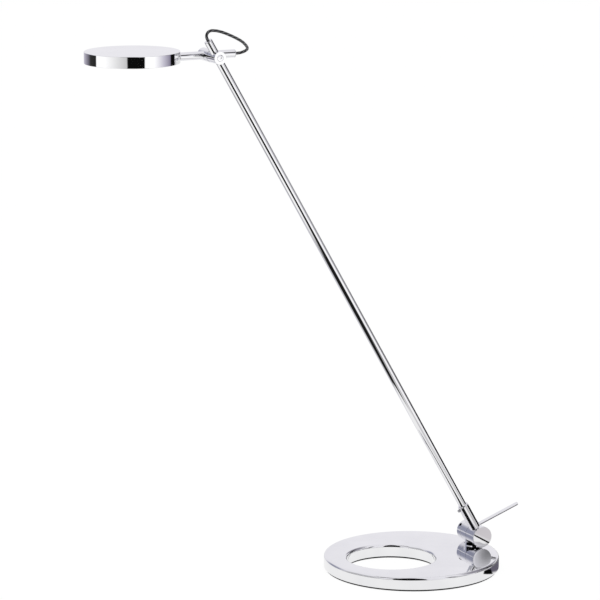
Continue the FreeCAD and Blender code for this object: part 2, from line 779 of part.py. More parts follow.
def make_pivot_head_hub():
    outer = "pivot_diameter / 2"
    way = "pivot_spigot_diameter / 2 + fit_gap"
    floor = "pivot_seam + pivot_spigot_length + running_gap"
    body = turned("pivot_head_turning", PIVOT, [
        (way, "head_hub_front"), (outer, "head_hub_front"), (outer, "pivot_hub_rear"),
        ("0", "pivot_hub_rear"), ("0", floor), (way, floor)])
    tube_hole = rod("head_cross_bore", "tube_diameter + 2 * fit_gap", "2 * pivot_diameter",
                    ("pivot_x + pivot_diameter", "head_tube_place", "pivot_z"), "y", "-90")
    screw_hole = rod("rear_screw_bore", "pivot_screw_diameter + 2 * fit_gap",
                     "pivot_rear - head_tube_place", ("pivot_x", "head_tube_place", "pivot_z"), "x", "-90")
    drag_hole = rod("drag_screw_bore", "drag_screw_diameter + 2 * fit_gap", "pivot_diameter",
                    ("pivot_x", "drag_screw_place", "pivot_z - pivot_diameter"), "z", "0")
    return cut("pivot_head_hub", body, [tube_hole, screw_hole, drag_hole])


def make_drag_screw():
    """The grub screw below the head hub that sets the drag of the tilt."""
    outer = "drag_screw_diameter / 2"
    tip = "-pivot_spigot_diameter / 2 + drag_groove_depth - fit_gap"
    end = "-pivot_diameter / 2 + pivot_edge"
    frame = (("pivot_x", "drag_screw_place", "pivot_z"), "z", "0")
    return turned("drag_screw", frame, [
        ("0", tip), (outer, tip), (outer, end), (outer + " / 2", end),
        (outer + " / 2", "%s + hex_depth" % end), ("0", "%s + hex_depth" % end)])


def make_head_ferrule():
    """The tapered plug that joins the head tube to the head's rim."""
    nose_end = "head_tube_reach + ferrule_length"
    stud_end = "%s + fit_gap + head_wall - ferrule_stud_clearance" % nose_end
    way = "ferrule_bore_diameter / 2"
    sleeve = "tube_bore / 2 - fit_gap"
    return turned("head_ferrule", HEAD_TUBE, [
        (way, "head_tube_reach - end_bush_sleeve"), (sleeve, "head_tube_reach - end_bush_sleeve"),
        (sleeve, "head_tube_reach"), ("tube_diameter / 2", "head_tube_reach"),
        ("ferrule_nose_diameter / 2", nose_end), ("ferrule_stud_diameter / 2", nose_end),
        ("ferrule_stud_diameter / 2", stud_end), (way, stud_end)])


def make_head_shell():
    outer = "head_diameter / 2"
    seat = "lens_seat_diameter / 2"
    cavity = "cavity_diameter / 2"
    body = turned("head_turning", HEAD, [
        ("0", "0"), (outer + " - head_edge", "0"), (outer, "-head_edge"),
        (outer, "-head_height + head_edge"), (outer + " - head_edge", "-head_height"),
        (seat, "-head_height"), (seat, "lens_seat_depth - head_height"),
        (cavity, "lens_seat_depth - head_height"), (cavity, "cavity_depth - head_height"),
        ("0", "cavity_depth - head_height")])
    stud_way = "head_wall + lens_seat_ledge + 2 * running_gap"
    stud_hole = rod("stud_hole", "ferrule_stud_diameter + 2 * fit_gap", stud_way,
                    ("head_x + cavity_diameter / 2 - running_gap", "head_tube_place", "pivot_z"), "y", "90")
    tapped_holes = []
    for i in range(int(SIZES["board_screws"])):
        hole_base = around_head("screw_circle", screw_bearing(i), "head_height - cavity_depth")
        tapped_holes.append(rod("tapped_hole_%d" % i, "board_screw_diameter + 2 * fit_gap",
                                "board_screw_bite + running_gap", hole_base, "z", "0"))
    return cut("head_shell", body, [stud_hole] + tapped_holes)


def around_head(circle_diameter, bearing, drop):
    """A point under the head's top on a circle about its centre."""
    return ("head_x + %s / 2 * cos(%s)" % (circle_diameter, bearing),
            "head_tube_place + %s / 2 * sin(%s)" % (circle_diameter, bearing),
            "head_top - (%s)" % drop)


def screw_bearing(i):
    return "board_screw_bearing + %d * 360 / board_screws" % i


def make_led_chips():
    """Light chips in a ring on the board's underside."""
    board_under = "head_height - cavity_depth + board_thickness"
    count = int(SIZES["chips"])
    chips = []
    for i in range(count):
        bearing = "%d * 360 / chips" % i
        x, y, z = around_head("chip_circle", bearing, "%s + chip_height" % board_under)
        x = "%s - chip_length / 2 * cos(%s) + chip_width / 2 * sin(%s)" % (x, bearing, bearing)
        y = "%s - chip_length / 2 * sin(%s) - chip_width / 2 * cos(%s)" % (y, bearing, bearing)
        chips.append(block("led_chip_%d" % i, "chip_length", "chip_width", "chip_height",
                           (x, y, z), "z", bearing))
    return grouped("led_chips", chips)


def make_board_and_screws():
    """The light board and the pan-head screws that hold it against the head's ceiling."""
    board_top = "cavity_depth - head_height"
    board = ring("board_disc", HEAD, "board_diameter", "0", board_top + " - board_thickness", board_top)
    under = "head_height - cavity_depth + board_thickness"
    holes = []
    screws = []
    for i in range(int(SIZES["board_screws"])):
        bearing = screw_bearing(i)
        head_base = around_head("screw_circle", bearing, "%s + board_screw_head_height" % under)
        hole_base = around_head("screw_circle", bearing, under + " + fit_gap")
        holes.append(rod("board_hole_%d" % i, "board_screw_diameter + 2 * fit_gap",
                         "board_thickness + 2 * fit_gap", hole_base, "z", "0"))
        shank = rod("board_shank_%d" % i, "board_screw_diameter",
                    "board_screw_head_height + board_thickness + board_screw_bite", head_base, "z", "0")
        head = rod("board_screw_head_%d" % i, "board_screw_head_diameter", "board_screw_head_height",
                   head_base, "z", "0")
        screws.append(joined("board_screw_%d" % i, [head, shank]))
    return [cut("led_board", board, holes), grouped("board_screws", screws)]


def make_head():
    seat_floor = "lens_seat_depth - head_height"
    lens_under = "%s - lens_thickness" % seat_floor
    bezel_under = "-head_height"
    lens_edge = "lens_seat_diameter - 2 * fit_gap"
    tail_tube_end = "-tail_length + end_bush_rim"
    tube_rear = "head_tube_place + tube_diameter / 2 + fit_gap"
    board_under = "head_height - cavity_depth + board_thickness"
    plug = block("board_connector", "plug_length", "plug_width", "plug_height",
                 ("head_x + plug_place - plug_length / 2", "head_tube_place - plug_width / 2",
                  "head_top - (%s) - plug_height" % board_under))
    plug.Label = "board_connector"
    return [
        ring("pivot_washer", PIVOT, "pivot_washer_diameter", "pivot_spigot_diameter + 2 * fit_gap",
             "pivot_seam", "head_hub_front"),
        make_pivot_head_hub(),
        make_drag_screw(),
        pivot_cap("pivot_rear_cap", "pivot_rear", "pivot_hub_rear", "-"),
        pivot_screw("pivot_rear_screw", "pivot_rear", tube_rear, "-"),
        ring("head_tube", HEAD_TUBE, "tube_diameter", "tube_bore", tail_tube_end, "head_tube_reach"),
        end_bush("tail_bush", HEAD_TUBE, tail_tube_end, "-"),
        ring("head_wire", HEAD_TUBE, "wire_diameter", "0", "-tail_length",
             "head_tube_reach - end_bush_sleeve"),
        make_head_ferrule(),
        make_head_shell(),
        *make_board_and_screws(),
        make_led_chips(),
        plug,
        ring("diffuser", HEAD, lens_edge, "0", lens_under, seat_floor),
        ring("diffuser_ring", HEAD, lens_edge, "%s - 2 * bezel_lip" % lens_edge, bezel_under, lens_under),
    ]


# ---- cable loop ---------------------------------------------------------------------------------

def loop_route():
    """The loop's points in the row frame, from the arm tube's end to the head tube's tail."""
    pivot = FreeCAD.Vector(value("pivot_x"), 0, value("pivot_z"))
    first = along_arm("arm_length + arm_stub")
    lead = along_arm("arm_length + arm_stub + loop_lead")
    tail_lead = ("pivot_x + tail_length + loop_lead", "head_tube_place", "pivot_z")
    tail = ("pivot_x + tail_length", "head_tube_place", "pivot_z")
    ends = [FreeCAD.Vector(*[value(text) for text in point]) for point in (first, lead, tail_lead, tail)]
    return ends[:2] + [pivot + FreeCAD.Vector(*step) for step in LOOP_POINTS] + ends[2:]


def arc_path(points):
    """Straight runs joined by tangent arcs, each as large as its two runs allow."""
    edges = []
    radii = []
    last = points[0]
    for before, corner, after in zip(points, points[1:], points[2:]):
        inwards = (before - corner).normalize()
        outwards = (after - corner).normalize()
        turn = math.pi - inwards.getAngle(outwards)
        setback = BEND_SHARE * min((before - corner).Length, (after - corner).Length)
        radii.append(setback / math.tan(turn / 2))
        first = corner + inwards * setback
        final = corner + outwards * setback
        bisector = (inwards + outwards).normalize()
        centre_distance = radii[-1] / math.cos(turn / 2)
        middle = corner + bisector * (centre_distance - radii[-1])
        edges.append(Part.LineSegment(last, first).toShape())
        edges.append(Part.Arc(first, middle, final).toShape())
        last = final
    edges.append(Part.LineSegment(last, points[-1]).toShape())
    return Part.Wire(edges), radii


def make_cable_loop():
    points = loop_route()
    path, radii = arc_path(points)
    radius = value("wire_diameter / 2")
    direction = points[1] - points[0]
    section = Part.Wire(Part.makeCircle(radius, points[0], direction))
    tube = path.makePipeShell([section], True, False)
    expected = math.pi * radius ** 2 * path.Length
    print("cable loop: length %.1f mm, volume %.1f of %.1f mm3" % (path.Length, tube.Volume, expected))
    print("cable loop radii:", " ".join("%.1f" % item for item in radii))
    loop = doc.addObject("Part::Feature", "cable_loop")
    loop.Shape = tube
    return loop


# ---- build and write ------------------------------------------------------------------------------

def check_and_export(nodes):
    failed = [obj.Name for obj in doc.Objects if {"Invalid", "Error"} & set(obj.State)]
    if failed:
        raise RuntimeError("failed to compute: " + ", ".join(failed))
    for node in nodes:
        shape = node.Shape
        if shape.isNull() or not shape.isValid() or shape.Volume <= 0:
            raise RuntimeError("bad shape: " + node.Label)
        print("%-20s solids %2d  volume %10.1f" % (node.Label, len(shape.Solids), shape.Volume))
        shape.exportStep(os.path.join("parts", node.Label + ".step"))


set_up_sheet()
base_nodes = [make_base_ring(), make_foot_pad(), make_swivel_bush(), make_cable_gland()]
tension_nodes = [make_tension_collar(), make_tension_bar()]
lamp_nodes = base_nodes + make_swivel() + make_arm() + tension_nodes + make_head() + [make_cable_loop()]
doc.recompute()
check_and_export(lamp_nodes)
print("%d nodes written" % len(lamp_nodes))
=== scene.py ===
import bpy
import bmesh
import json
import math
from mathutils import Matrix, Vector


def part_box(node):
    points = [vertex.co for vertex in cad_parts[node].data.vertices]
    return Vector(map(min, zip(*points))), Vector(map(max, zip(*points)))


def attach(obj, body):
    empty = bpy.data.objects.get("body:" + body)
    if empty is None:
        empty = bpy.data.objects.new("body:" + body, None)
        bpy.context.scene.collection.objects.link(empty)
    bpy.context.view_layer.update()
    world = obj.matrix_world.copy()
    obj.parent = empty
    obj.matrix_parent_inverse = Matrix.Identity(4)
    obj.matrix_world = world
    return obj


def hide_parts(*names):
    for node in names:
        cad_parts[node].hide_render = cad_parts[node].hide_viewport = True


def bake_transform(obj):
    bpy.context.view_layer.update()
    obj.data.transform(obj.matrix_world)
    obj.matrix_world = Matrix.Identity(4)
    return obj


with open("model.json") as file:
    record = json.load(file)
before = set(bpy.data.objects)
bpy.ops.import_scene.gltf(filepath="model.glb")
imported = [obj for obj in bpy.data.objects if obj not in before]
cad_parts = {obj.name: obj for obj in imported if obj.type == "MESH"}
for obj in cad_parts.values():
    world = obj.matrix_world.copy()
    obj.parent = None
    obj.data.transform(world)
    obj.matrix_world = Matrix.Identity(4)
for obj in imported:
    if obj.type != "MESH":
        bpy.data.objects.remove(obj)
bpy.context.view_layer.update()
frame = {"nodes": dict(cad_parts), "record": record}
print("frame loaded:", len(frame["nodes"]), "nodes")

fullTurn = 2 * math.pi
sideways = Vector((0, 1, 0))
upwards = Vector((0, 0, 1))


def middle(node):
    low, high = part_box(node)
    return (low + high) / 2


def extent(node):
    low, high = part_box(node)
    return high - low


def sideSpan(node):
    # how far a node reaches along Y
    low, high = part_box(node)
    return low.y, high.y


def axisPlace(origin, direction):
    # a place whose own Z runs along direction
    return Matrix.Translation(origin) @ direction.to_track_quat("Z", "Y").to_matrix().to_4x4()


lamp = {
    "armLean": math.radians(30),
    "armReach": 0.660,
    "fit": 0.00005,
    "keySides": 6,
}
barrelAxis = Vector((0, 0, middle("front_cap").z))
armY = middle("arm_wire").y
armWay = Vector((-math.sin(lamp["armLean"]), 0, math.cos(lamp["armLean"])))
pivot = Vector((middle("pivot_front_cap").x, 0, middle("pivot_front_cap").z))
tubeY = middle("head_wire").y

postPlace = Matrix.Identity(4)
barrelPlace = axisPlace(barrelAxis, sideways)
armPlace = axisPlace(Vector((0, armY, barrelAxis.z)), armWay)
pivotPlace = axisPlace(pivot, sideways)
headTubePlace = axisPlace(Vector((pivot.x, tubeY, pivot.z)), Vector((-1, 0, 0)))
headCentre = Vector((middle("head_shell").x, tubeY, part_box("head_shell")[1].z))
headPlace = Matrix.Translation(headCentre)


# camera, first of all

camera = {
    "place": (-1.8111, -3.1811, 1.0373),
    "downward": math.radians(11.352),
    "heading": math.radians(-26.507),
    "lens": 196.64,
    "farClip": 50,
}


def setCamera():
    data = bpy.data.cameras.new("photoView")
    data.lens = camera["lens"]
    data.clip_end = camera["farClip"]
    eye = bpy.data.objects.new("photoView", data)
    eye.location = camera["place"]
    eye.rotation_euler = (math.pi / 2 - camera["downward"], 0, camera["heading"])
    bpy.context.scene.collection.objects.link(eye)
    bpy.context.scene.camera = eye
    bpy.context.scene.view_settings.view_transform = "Standard"
    print("camera set")


# node helpers

def join(tree, source, output, target, socket):
    tree.links.new(source.outputs[output], target.inputs[socket])


def addNode(tree, kind, **values):
    node = tree.nodes.new(kind)
    for name, value in values.items():
        setattr(node, name, value)
    return node


def addMath(tree, operation, first, second=None):
    # first and second are numbers or (node, output) pairs
    node = addNode(tree, "ShaderNodeMath", operation=operation)
    for index, item in enumerate((first, second)):
        if item is None:
            continue
        if isinstance(item, tuple):
            join(tree, item[0], item[1], node, index)
        else:
            node.inputs[index].default_value = item
    return node, 0


def addNoise(tree, coordinates, scale, detail=3.0, roughness=0.5):
    noise = addNode(tree, "ShaderNodeTexNoise")
    noise.inputs["Scale"].default_value = scale
    noise.inputs["Detail"].default_value = detail
    noise.inputs["Roughness"].default_value = roughness
    join(tree, *coordinates, noise, "Vector")
    return noise


def addRamp(tree, source, stops, interpolation="LINEAR"):
    ramp = addNode(tree, "ShaderNodeValToRGB")
    band = ramp.color_ramp
    band.interpolation = interpolation
    while len(band.elements) > 1:
        band.elements.remove(band.elements[-1])
    for index, (position, colour) in enumerate(stops):
        element = band.elements[0] if index == 0 else band.elements.new(position)
        element.position = position
        element.color = (*colour, 1)
    join(tree, *source, ramp, "Fac")
    return ramp


def addTint(tree, shader, source, low, high, span=(0.3, 0.7)):
    # base colour between two tones, as source goes through the span
    tint = addRamp(tree, source, [(span[0], low), (span[1], high)])
    join(tree, tint, "Color", shader, "Base Color")


def addHaze(tree, shader, source, low, high):
    # roughness between two values
    change = addNode(tree, "ShaderNodeMapRange")
    change.inputs["To Min"].default_value = low
    change.inputs["To Max"].default_value = high
    join(tree, *source, change, "Value")
    join(tree, change, "Result", shader, "Roughness")


def addBump(tree, shader, source, distance, strength=1.0):
    bump = addNode(tree, "ShaderNodeBump")
    bump.inputs["Strength"].default_value = strength
    bump.inputs["Distance"].default_value = distance
    join(tree, *source, bump, "Height")
    join(tree, bump, "Normal", shader, "Normal")


def newFinish(name, metallic, roughness):
    material = bpy.data.materials.new(name)
    material.use_nodes = True
    tree = material.node_tree
    shader = tree.nodes["Principled BSDF"]
    shader.inputs["Metallic"].default_value = metallic
    shader.inputs["Roughness"].default_value = roughness
    place = addNode(tree, "ShaderNodeTexCoord")
    return material, tree, shader, (place, "Object")


def stretched(tree, coordinates, scale):
    mapping = addNode(tree, "ShaderNodeMapping")
    mapping.inputs["Scale"].default_value = scale
    join(tree, *coordinates, mapping, "Vector")
    return mapping, "Vector"


# finishes

polish = {
    "tintLow": (0.86, 0.86, 0.875),
    "tintHigh": (0.91, 0.91, 0.92),
    "tintScale": 35,
    "tintDetail": 2,
    "roughLow": 0.015,
    "roughHigh": 0.045,
    "grainScale": 1400,
    "grainDetail": 6,
    "grainBreak": 0.7,
    "peelScale": 160,
    "peelDetail": 1,
    "peelHeight": 0.000012,
}


def polishedChrome(name, roughLow=polish["roughLow"], roughHigh=polish["roughHigh"]):
    # plated metal: a breath of haze, fine polishing grain and a little orange peel
    material, tree, shader, coordinates = newFinish(name, 1.0, roughLow)
    cloud = addNoise(tree, coordinates, polish["tintScale"], polish["tintDetail"])
    addTint(tree, shader, (cloud, "Fac"), polish["tintLow"], polish["tintHigh"])
    grain = addNoise(tree, coordinates, polish["grainScale"], polish["grainDetail"],
                     polish["grainBreak"])
    addHaze(tree, shader, (grain, "Fac"), roughLow, roughHigh)
    peel = addNoise(tree, coordinates, polish["peelScale"], polish["peelDetail"])
    addBump(tree, shader, (peel, "Fac"), polish["peelHeight"])
    return material


latheLines = {
    "detail": 4,
    "break": 0.6,
    "span": (0.35, 0.65),
    "smoothest": 0.8,
    "roughest": 1.3,
    "depth": 0.00002,
    "strength": 0.5,
}


def turnedSteel(name, colourLow, colourHigh, roughness, stretch):
    # machined metal with fine lathe lines along one direction
    material, tree, shader, coordinates = newFinish(name, 1.0, roughness)
    lines = addNoise(tree, stretched(tree, coordinates, stretch), 1, latheLines["detail"],
                     latheLines["break"])
    addTint(tree, shader, (lines, "Fac"), colourLow, colourHigh, latheLines["span"])
    addHaze(tree, shader, (lines, "Fac"), roughness * latheLines["smoothest"],
            roughness * latheLines["roughest"])
    addBump(tree, shader, (lines, "Fac"), latheLines["depth"], latheLines["strength"])
    return material


mouldGrain = {
    "detail": 5,
    "break": 0.6,
    "smoothest": 0.85,
    "roughest": 1.15,
}


def mouldedPlastic(name, colourLow, colourHigh, roughness, grainScale, grainHeight):
    material, tree, shader, coordinates = newFinish(name, 0.0, roughness)
    grain = addNoise(tree, coordinates, grainScale, mouldGrain["detail"], mouldGrain["break"])
    addTint(tree, shader, (grain, "Fac"), colourLow, colourHigh)
    addHaze(tree, shader, (grain, "Fac"), roughness * mouldGrain["smoothest"],
            min(roughness * mouldGrain["roughest"], 1))
    addBump(tree, shader, (grain, "Fac"), grainHeight)
    return material


braid = {
    "strands": 3,
    "pitch": 0.02,
    "darkThread": (0.005, 0.005, 0.006),
    "lightThread": (0.15, 0.15, 0.16),
    "threadSpan": (0.72, 1.0),
    "threadHeight": 0.00012,
    "fuzzScale": 6000,
    "fuzzDetail": 2,
    "fuzzShare": 0.5,
    "roughness": 0.55,
    "sheen": 0.3,
}


def braidedCable(name):
    # threads wound both ways round the cable, read from attributes on its own mesh
    material, tree, shader, coordinates = newFinish(name, 0.0, braid["roughness"])
    cosine = addNode(tree, "ShaderNodeAttribute", attribute_name="aroundCosine")
    sine = addNode(tree, "ShaderNodeAttribute", attribute_name="aroundSine")
    along = addNode(tree, "ShaderNodeAttribute", attribute_name="alongCable")
    around = addMath(tree, "ARCTAN2", (sine, "Fac"), (cosine, "Fac"))
    aroundTurns = addMath(tree, "MULTIPLY", around, braid["strands"])
    turnsEach = fullTurn * braid["strands"] / braid["pitch"]
    alongTurns = addMath(tree, "MULTIPLY", (along, "Fac"), turnsEach)
    leftWave = addMath(tree, "SINE", addMath(tree, "ADD", aroundTurns, alongTurns))
    rightWave = addMath(tree, "SINE", addMath(tree, "SUBTRACT", aroundTurns, alongTurns))
    crown = addMath(tree, "MAXIMUM", leftWave, rightWave)
    fuzz = addNoise(tree, coordinates, braid["fuzzScale"], braid["fuzzDetail"])
    loose = addMath(tree, "MULTIPLY", (fuzz, "Fac"), braid["fuzzShare"])
    fuzzed = addMath(tree, "ADD", leftWave, loose)
    addTint(tree, shader, fuzzed, braid["darkThread"], braid["lightThread"], braid["threadSpan"])
    shader.inputs["Sheen Weight"].default_value = braid["sheen"]
    addBump(tree, shader, crown, braid["threadHeight"])
    return material


opal = {
    "roughness": 0.35,
    "tintLow": (0.86, 0.86, 0.85),
    "tintHigh": (0.92, 0.92, 0.91),
    "tintScale": 220,
    "tintDetail": 3,
    "milkiness": 0.4,
    "milkDepth": (0.004, 0.004, 0.004),
    "bending": 1.49,
    "satinScale": 4000,
    "satinDetail": 2,
    "satinHeight": 0.000006,
}


def opalSheet(name):
    # milky sheet with a satin face
    material, tree, shader, coordinates = newFinish(name, 0.0, opal["roughness"])
    cloud = addNoise(tree, coordinates, opal["tintScale"], opal["tintDetail"])
    addTint(tree, shader, (cloud, "Fac"), opal["tintLow"], opal["tintHigh"])
    shader.inputs["Subsurface Weight"].default_value = opal["milkiness"]
    shader.inputs["Subsurface Radius"].default_value = opal["milkDepth"]
    shader.inputs["IOR"].default_value = opal["bending"]
    satin = addNoise(tree, coordinates, opal["satinScale"], opal["satinDetail"])
    addBump(tree, shader, (satin, "Fac"), opal["satinHeight"])
    return material


setCamera()
# steel: two tones, roughness, lines to the metre; plastic: two tones, roughness, grain, its height
finishes = {
    "chrome_steel": polishedChrome("chromePlate"),
    "mirror_chrome": polishedChrome("mirrorPlate", 0.01, 0.03),
    "tube_chrome": polishedChrome("tubePlate", 0.02, 0.05),
    "head_metal": polishedChrome("headPlate", 0.02, 0.05),
    "plain_steel": turnedSteel("zincSteel", (0.50, 0.50, 0.52), (0.66, 0.66, 0.67),
                               0.28, (900, 60, 900)),
    "dark_screw": turnedSteel("blackOxide", (0.035, 0.035, 0.037), (0.09, 0.09, 0.095),
                              0.38, (1200, 1200, 200)),
    "spring_steel": turnedSteel("oiledSpring", (0.30, 0.30, 0.32), (0.46, 0.46, 0.49),
                                0.3, (500, 500, 500)),
    "bronze": turnedSteel("sinteredBronze", (0.50, 0.34, 0.16), (0.70, 0.52, 0.28),
                          0.42, (1500, 1500, 1500)),
    "nylon": mouldedPlastic("blackNylon", (0.010, 0.010, 0.011), (0.022, 0.022, 0.024),
                            0.42, 900, 0.00001),
    "pad_rubber": mouldedPlastic("matRubber", (0.010, 0.010, 0.010), (0.028, 0.028, 0.028),
                                 0.85, 1500, 0.00004),
    "cable_black": braidedCable("braidedCable"),
    "board_white": mouldedPlastic("whiteBoard", (0.80, 0.80, 0.78), (0.88, 0.88, 0.86),
                                  0.4, 600, 0.000008),
    "led_yellow": mouldedPlastic("phosphorGel", (0.78, 0.55, 0.10), (0.90, 0.70, 0.18),
                                 0.3, 2500, 0.00001),
    "connector_white": mouldedPlastic("plugPlastic", (0.74, 0.72, 0.66), (0.82, 0.80, 0.74),
                                      0.45, 900, 0.00001),
    "opal_acrylic": opalSheet("opalAcrylic"),
}
print("finishes made:", len(finishes))


# cable loop, the only cord that shows

cable = {
    "diameter": extent("arm_wire").y,
    "tubeEnd": 0.6815,
    "tail": 0.032,
    "lead": 0.0043,
    "steps": [
        (-0.0119, -0.0124, 0.0266),
        (-0.0084, -0.0122, 0.0292),
        (-0.0024, -0.0120, 0.0291),
        (0.0055, -0.0116, 0.0272),
        (0.0140, -0.0106, 0.0239),
        (0.0240, -0.0084, 0.0194),
        (0.0332, -0.0051, 0.0147),
        (0.0403, 0.0001, 0.0096),
        (0.0446, 0.0046, 0.0056),
        (0.0443, 0.0085, 0.0028),
        (0.0409, 0.0113, 0.0007),
    ],
    "length": 0.0925,
    "sides": 20,
    "smoothness": 14,
}


def cableRoute():
    armEnd = armPlace @ Vector((0, 0, cable["tubeEnd"]))
    tailEnd = Vector((pivot.x + cable["tail"], tubeY, pivot.z))
    outwards = Vector((cable["lead"], 0, 0))
    steps = [pivot + Vector(step) for step in cable["steps"]]
    return [armEnd, armEnd + armWay * cable["lead"], *steps, tailEnd + outwards, tailEnd]


def cableLine(points):
    # points read along the smooth curve that the route controls
    data = bpy.data.curves.new("cableLine", "CURVE")
    data.dimensions = "3D"
    data.resolution_u = cable["smoothness"]
    spline = data.splines.new("NURBS")
    spline.points.add(len(points) - 1)
    for knot, point in zip(spline.points, points):
        knot.co = (*point, 1)
    spline.order_u = 3
    spline.use_endpoint_u = True
    guide = bpy.data.objects.new("cableLine", data)
    bpy.context.scene.collection.objects.link(guide)
    depsgraph = bpy.context.evaluated_depsgraph_get()
    mesh = bpy.data.meshes.new_from_object(guide.evaluated_get(depsgraph))
    line = [vertex.co.copy() for vertex in mesh.vertices]
    bpy.data.objects.remove(guide)
    bpy.data.meshes.remove(mesh)
    return line


def makeCableLoop():
    route = cableRoute()
    line = cableLine(route)
    radius = cable["diameter"] / 2
    bm = bmesh.new()
    cosine = bm.verts.layers.float.new("aroundCosine")
    sine = bm.verts.layers.float.new("aroundSine")
    along = bm.verts.layers.float.new("alongCable")
    ring = bmesh.ops.create_circle(bm, segments=cable["sides"], radius=radius)["verts"]
    for vertex in ring:
        vertex[cosine] = vertex.co.x / radius
        vertex[sine] = vertex.co.y / radius
    heading = (line[1] - line[0]).normalized()
    bmesh.ops.transform(bm, matrix=axisPlace(line[0], heading), verts=ring)
    edges = list(bm.edges)
    bmesh.ops.contextual_create(bm, geom=edges)
    travelled = 0.0
    for index in range(1, len(line)):
        step = line[index] - line[index - 1]
        travelled += step.length
        following = line[min(index + 1, len(line) - 1)]
        newHeading = (following - line[index - 1]).normalized()
        ring = [v for v in bmesh.ops.extrude_edge_only(bm, edges=edges)["geom"]
                if isinstance(v, bmesh.types.BMVert)]
        turn = heading.rotation_difference(newHeading).to_matrix()
        bmesh.ops.translate(bm, vec=step, verts=ring)
        bmesh.ops.rotate(bm, cent=line[index], matrix=turn, verts=ring)
        for vertex in ring:
            vertex[along] = travelled
        members = set(ring)
        edges = [e for e in bm.edges if e.verts[0] in members and e.verts[1] in members]
        heading = newHeading
    bmesh.ops.contextual_create(bm, geom=edges)
    bmesh.ops.recalc_face_normals(bm, faces=bm.faces)
    loop = addPiece(bm, "cableLoop")
    dress(loop, "cable_black")
    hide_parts("cable_loop")
    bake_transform(loop)
    print("cable loop: %.4f m along its line, %d rings" % (travelled, len(line)))


# making pieces

smoothing = {
    "sharpAngle": math.radians(50),
    "bevelAngle": math.radians(28),
    "weld": 0.000001,
    "bevelSteps": 3,
    "flatWeight": 100,
    "boreSides": 48,
}


def addPiece(bm, name, place=None):
    if place is not None:
        bmesh.ops.transform(bm, matrix=place, verts=bm.verts)
    mesh = bpy.data.meshes.new(name)
    bm.to_mesh(mesh)
    bm.free()
    mesh.polygons.foreach_set("use_smooth", [True] * len(mesh.polygons))
    piece = bpy.data.objects.new(name, mesh)
    bpy.context.scene.collection.objects.link(piece)
    return piece


def dress(piece, slot):
    piece.data.materials.clear()
    piece.data.materials.append(finishes[slot])


def lathe(profile, steps, edge=0.0):
    # a profile of radius and height pairs spun round Z, with its corners eased by edge
    bm = bmesh.new()
    points = [bm.verts.new((radius, 0, height)) for radius, height in profile]
    closed = all(radius > 0 for radius, height in profile)
    pairs = list(zip(points, points[1:]))
    if closed:
        pairs.append((points[-1], points[0]))
    lines = [bm.edges.new(pair) for pair in pairs]
    bmesh.ops.spin(bm, geom=points + lines, cent=(0, 0, 0), axis=(0, 0, 1), angle=fullTurn,
                   steps=steps, use_merge=True)
    bmesh.ops.remove_doubles(bm, verts=bm.verts, dist=smoothing["weld"])
    bmesh.ops.recalc_face_normals(bm, faces=bm.faces)
    if edge:
        corners = [e for e in bm.edges if isCorner(e, smoothing["bevelAngle"])]
        rounded(bm, corners, edge, smoothing["bevelSteps"], clamp_overlap=True)
    return bm


def isCorner(edge, angle):
    return len(edge.link_faces) == 2 and edge.calc_face_angle() > angle


def rounded(bm, edges, width, steps, **more):
    bmesh.ops.bevel(bm, geom=edges, offset=width, offset_type="OFFSET", segments=steps,
                    profile=0.5, affect="EDGES", material=-1, **more)


def rodCutter(radius, low, high, place, sides=smoothing["boreSides"]):
    # a rod that bores a hole, from low to high along its place's own Z
    bm = bmesh.new()
    bmesh.ops.create_cone(bm, cap_ends=True, segments=sides, radius1=radius, radius2=radius,
                          depth=high - low)
    bmesh.ops.translate(bm, vec=(0, 0, (high + low) / 2), verts=bm.verts)
    return addPiece(bm, "cutter", place)


def keySocket(sizes, face, place):
    # cuts the hexagonal socket of a screw whose face is at a height
    return rodCutter(sizes["keyRadius"], face - sizes["keyDepth"], face + sizes["keyDepth"],
                     place, lamp["keySides"])


def combine(piece, others, operation="DIFFERENCE"):
    # joins or cuts away helper pieces and takes them off the scene
    for other in others:
        change = piece.modifiers.new("combine", "BOOLEAN")
        change.operation = operation
        change.object = other
        change.solver = "EXACT"
    depsgraph = bpy.context.evaluated_depsgraph_get()
    mesh = bpy.data.meshes.new_from_object(piece.evaluated_get(depsgraph))
    piece.modifiers.clear()
    piece.data = mesh
    for other in others:
        bpy.data.objects.remove(other)


def settle(piece, slot, body, node):
    # welds the mesh, keeps its true corners sharp, and puts it in its node's stead
    bm = bmesh.new()
    bm.from_mesh(piece.data)
    bmesh.ops.remove_doubles(bm, verts=bm.verts, dist=smoothing["weld"])
    for edge in bm.edges:
        edge.smooth = not isCorner(edge, smoothing["sharpAngle"])
    for face in bm.faces:
        face.smooth = True
    bm.to_mesh(piece.data)
    bm.free()
    weights = piece.modifiers.new("flatFacesFirst", "WEIGHTED_NORMAL")
    weights.keep_sharp = True
    weights.weight = smoothing["flatWeight"]
    dress(piece, slot)
    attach(piece, body)
    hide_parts(node)


def turnedPiece(name, profile, place, slot, body, node, steps, edge=0.0, cutters=()):
    piece = addPiece(lathe(profile, steps, edge), name, place)
    if cutters:
        combine(piece, list(cutters))
    settle(piece, slot, body, node)


# base

base = {
    "steps": 256,
    "rounding": 0.0032,
    "roundingSteps": 10,
    "underBevel": 0.0006,
    "underSteps": 2,
    "holeRadius": 0.0505,
    "holeOffset": 0.0265,
    "glandBearing": math.radians(52),
    "glandHeight": 0.0074,
    "glandBore": 0.00445,
    "glandDepth": 0.012,
    "recessRadius": 0.0125,
    "recessTop": 0.009,
    "bushRadius": 0.0081,
}
baseCentre = Vector((middle("foot_pad").x, middle("foot_pad").y, 0))


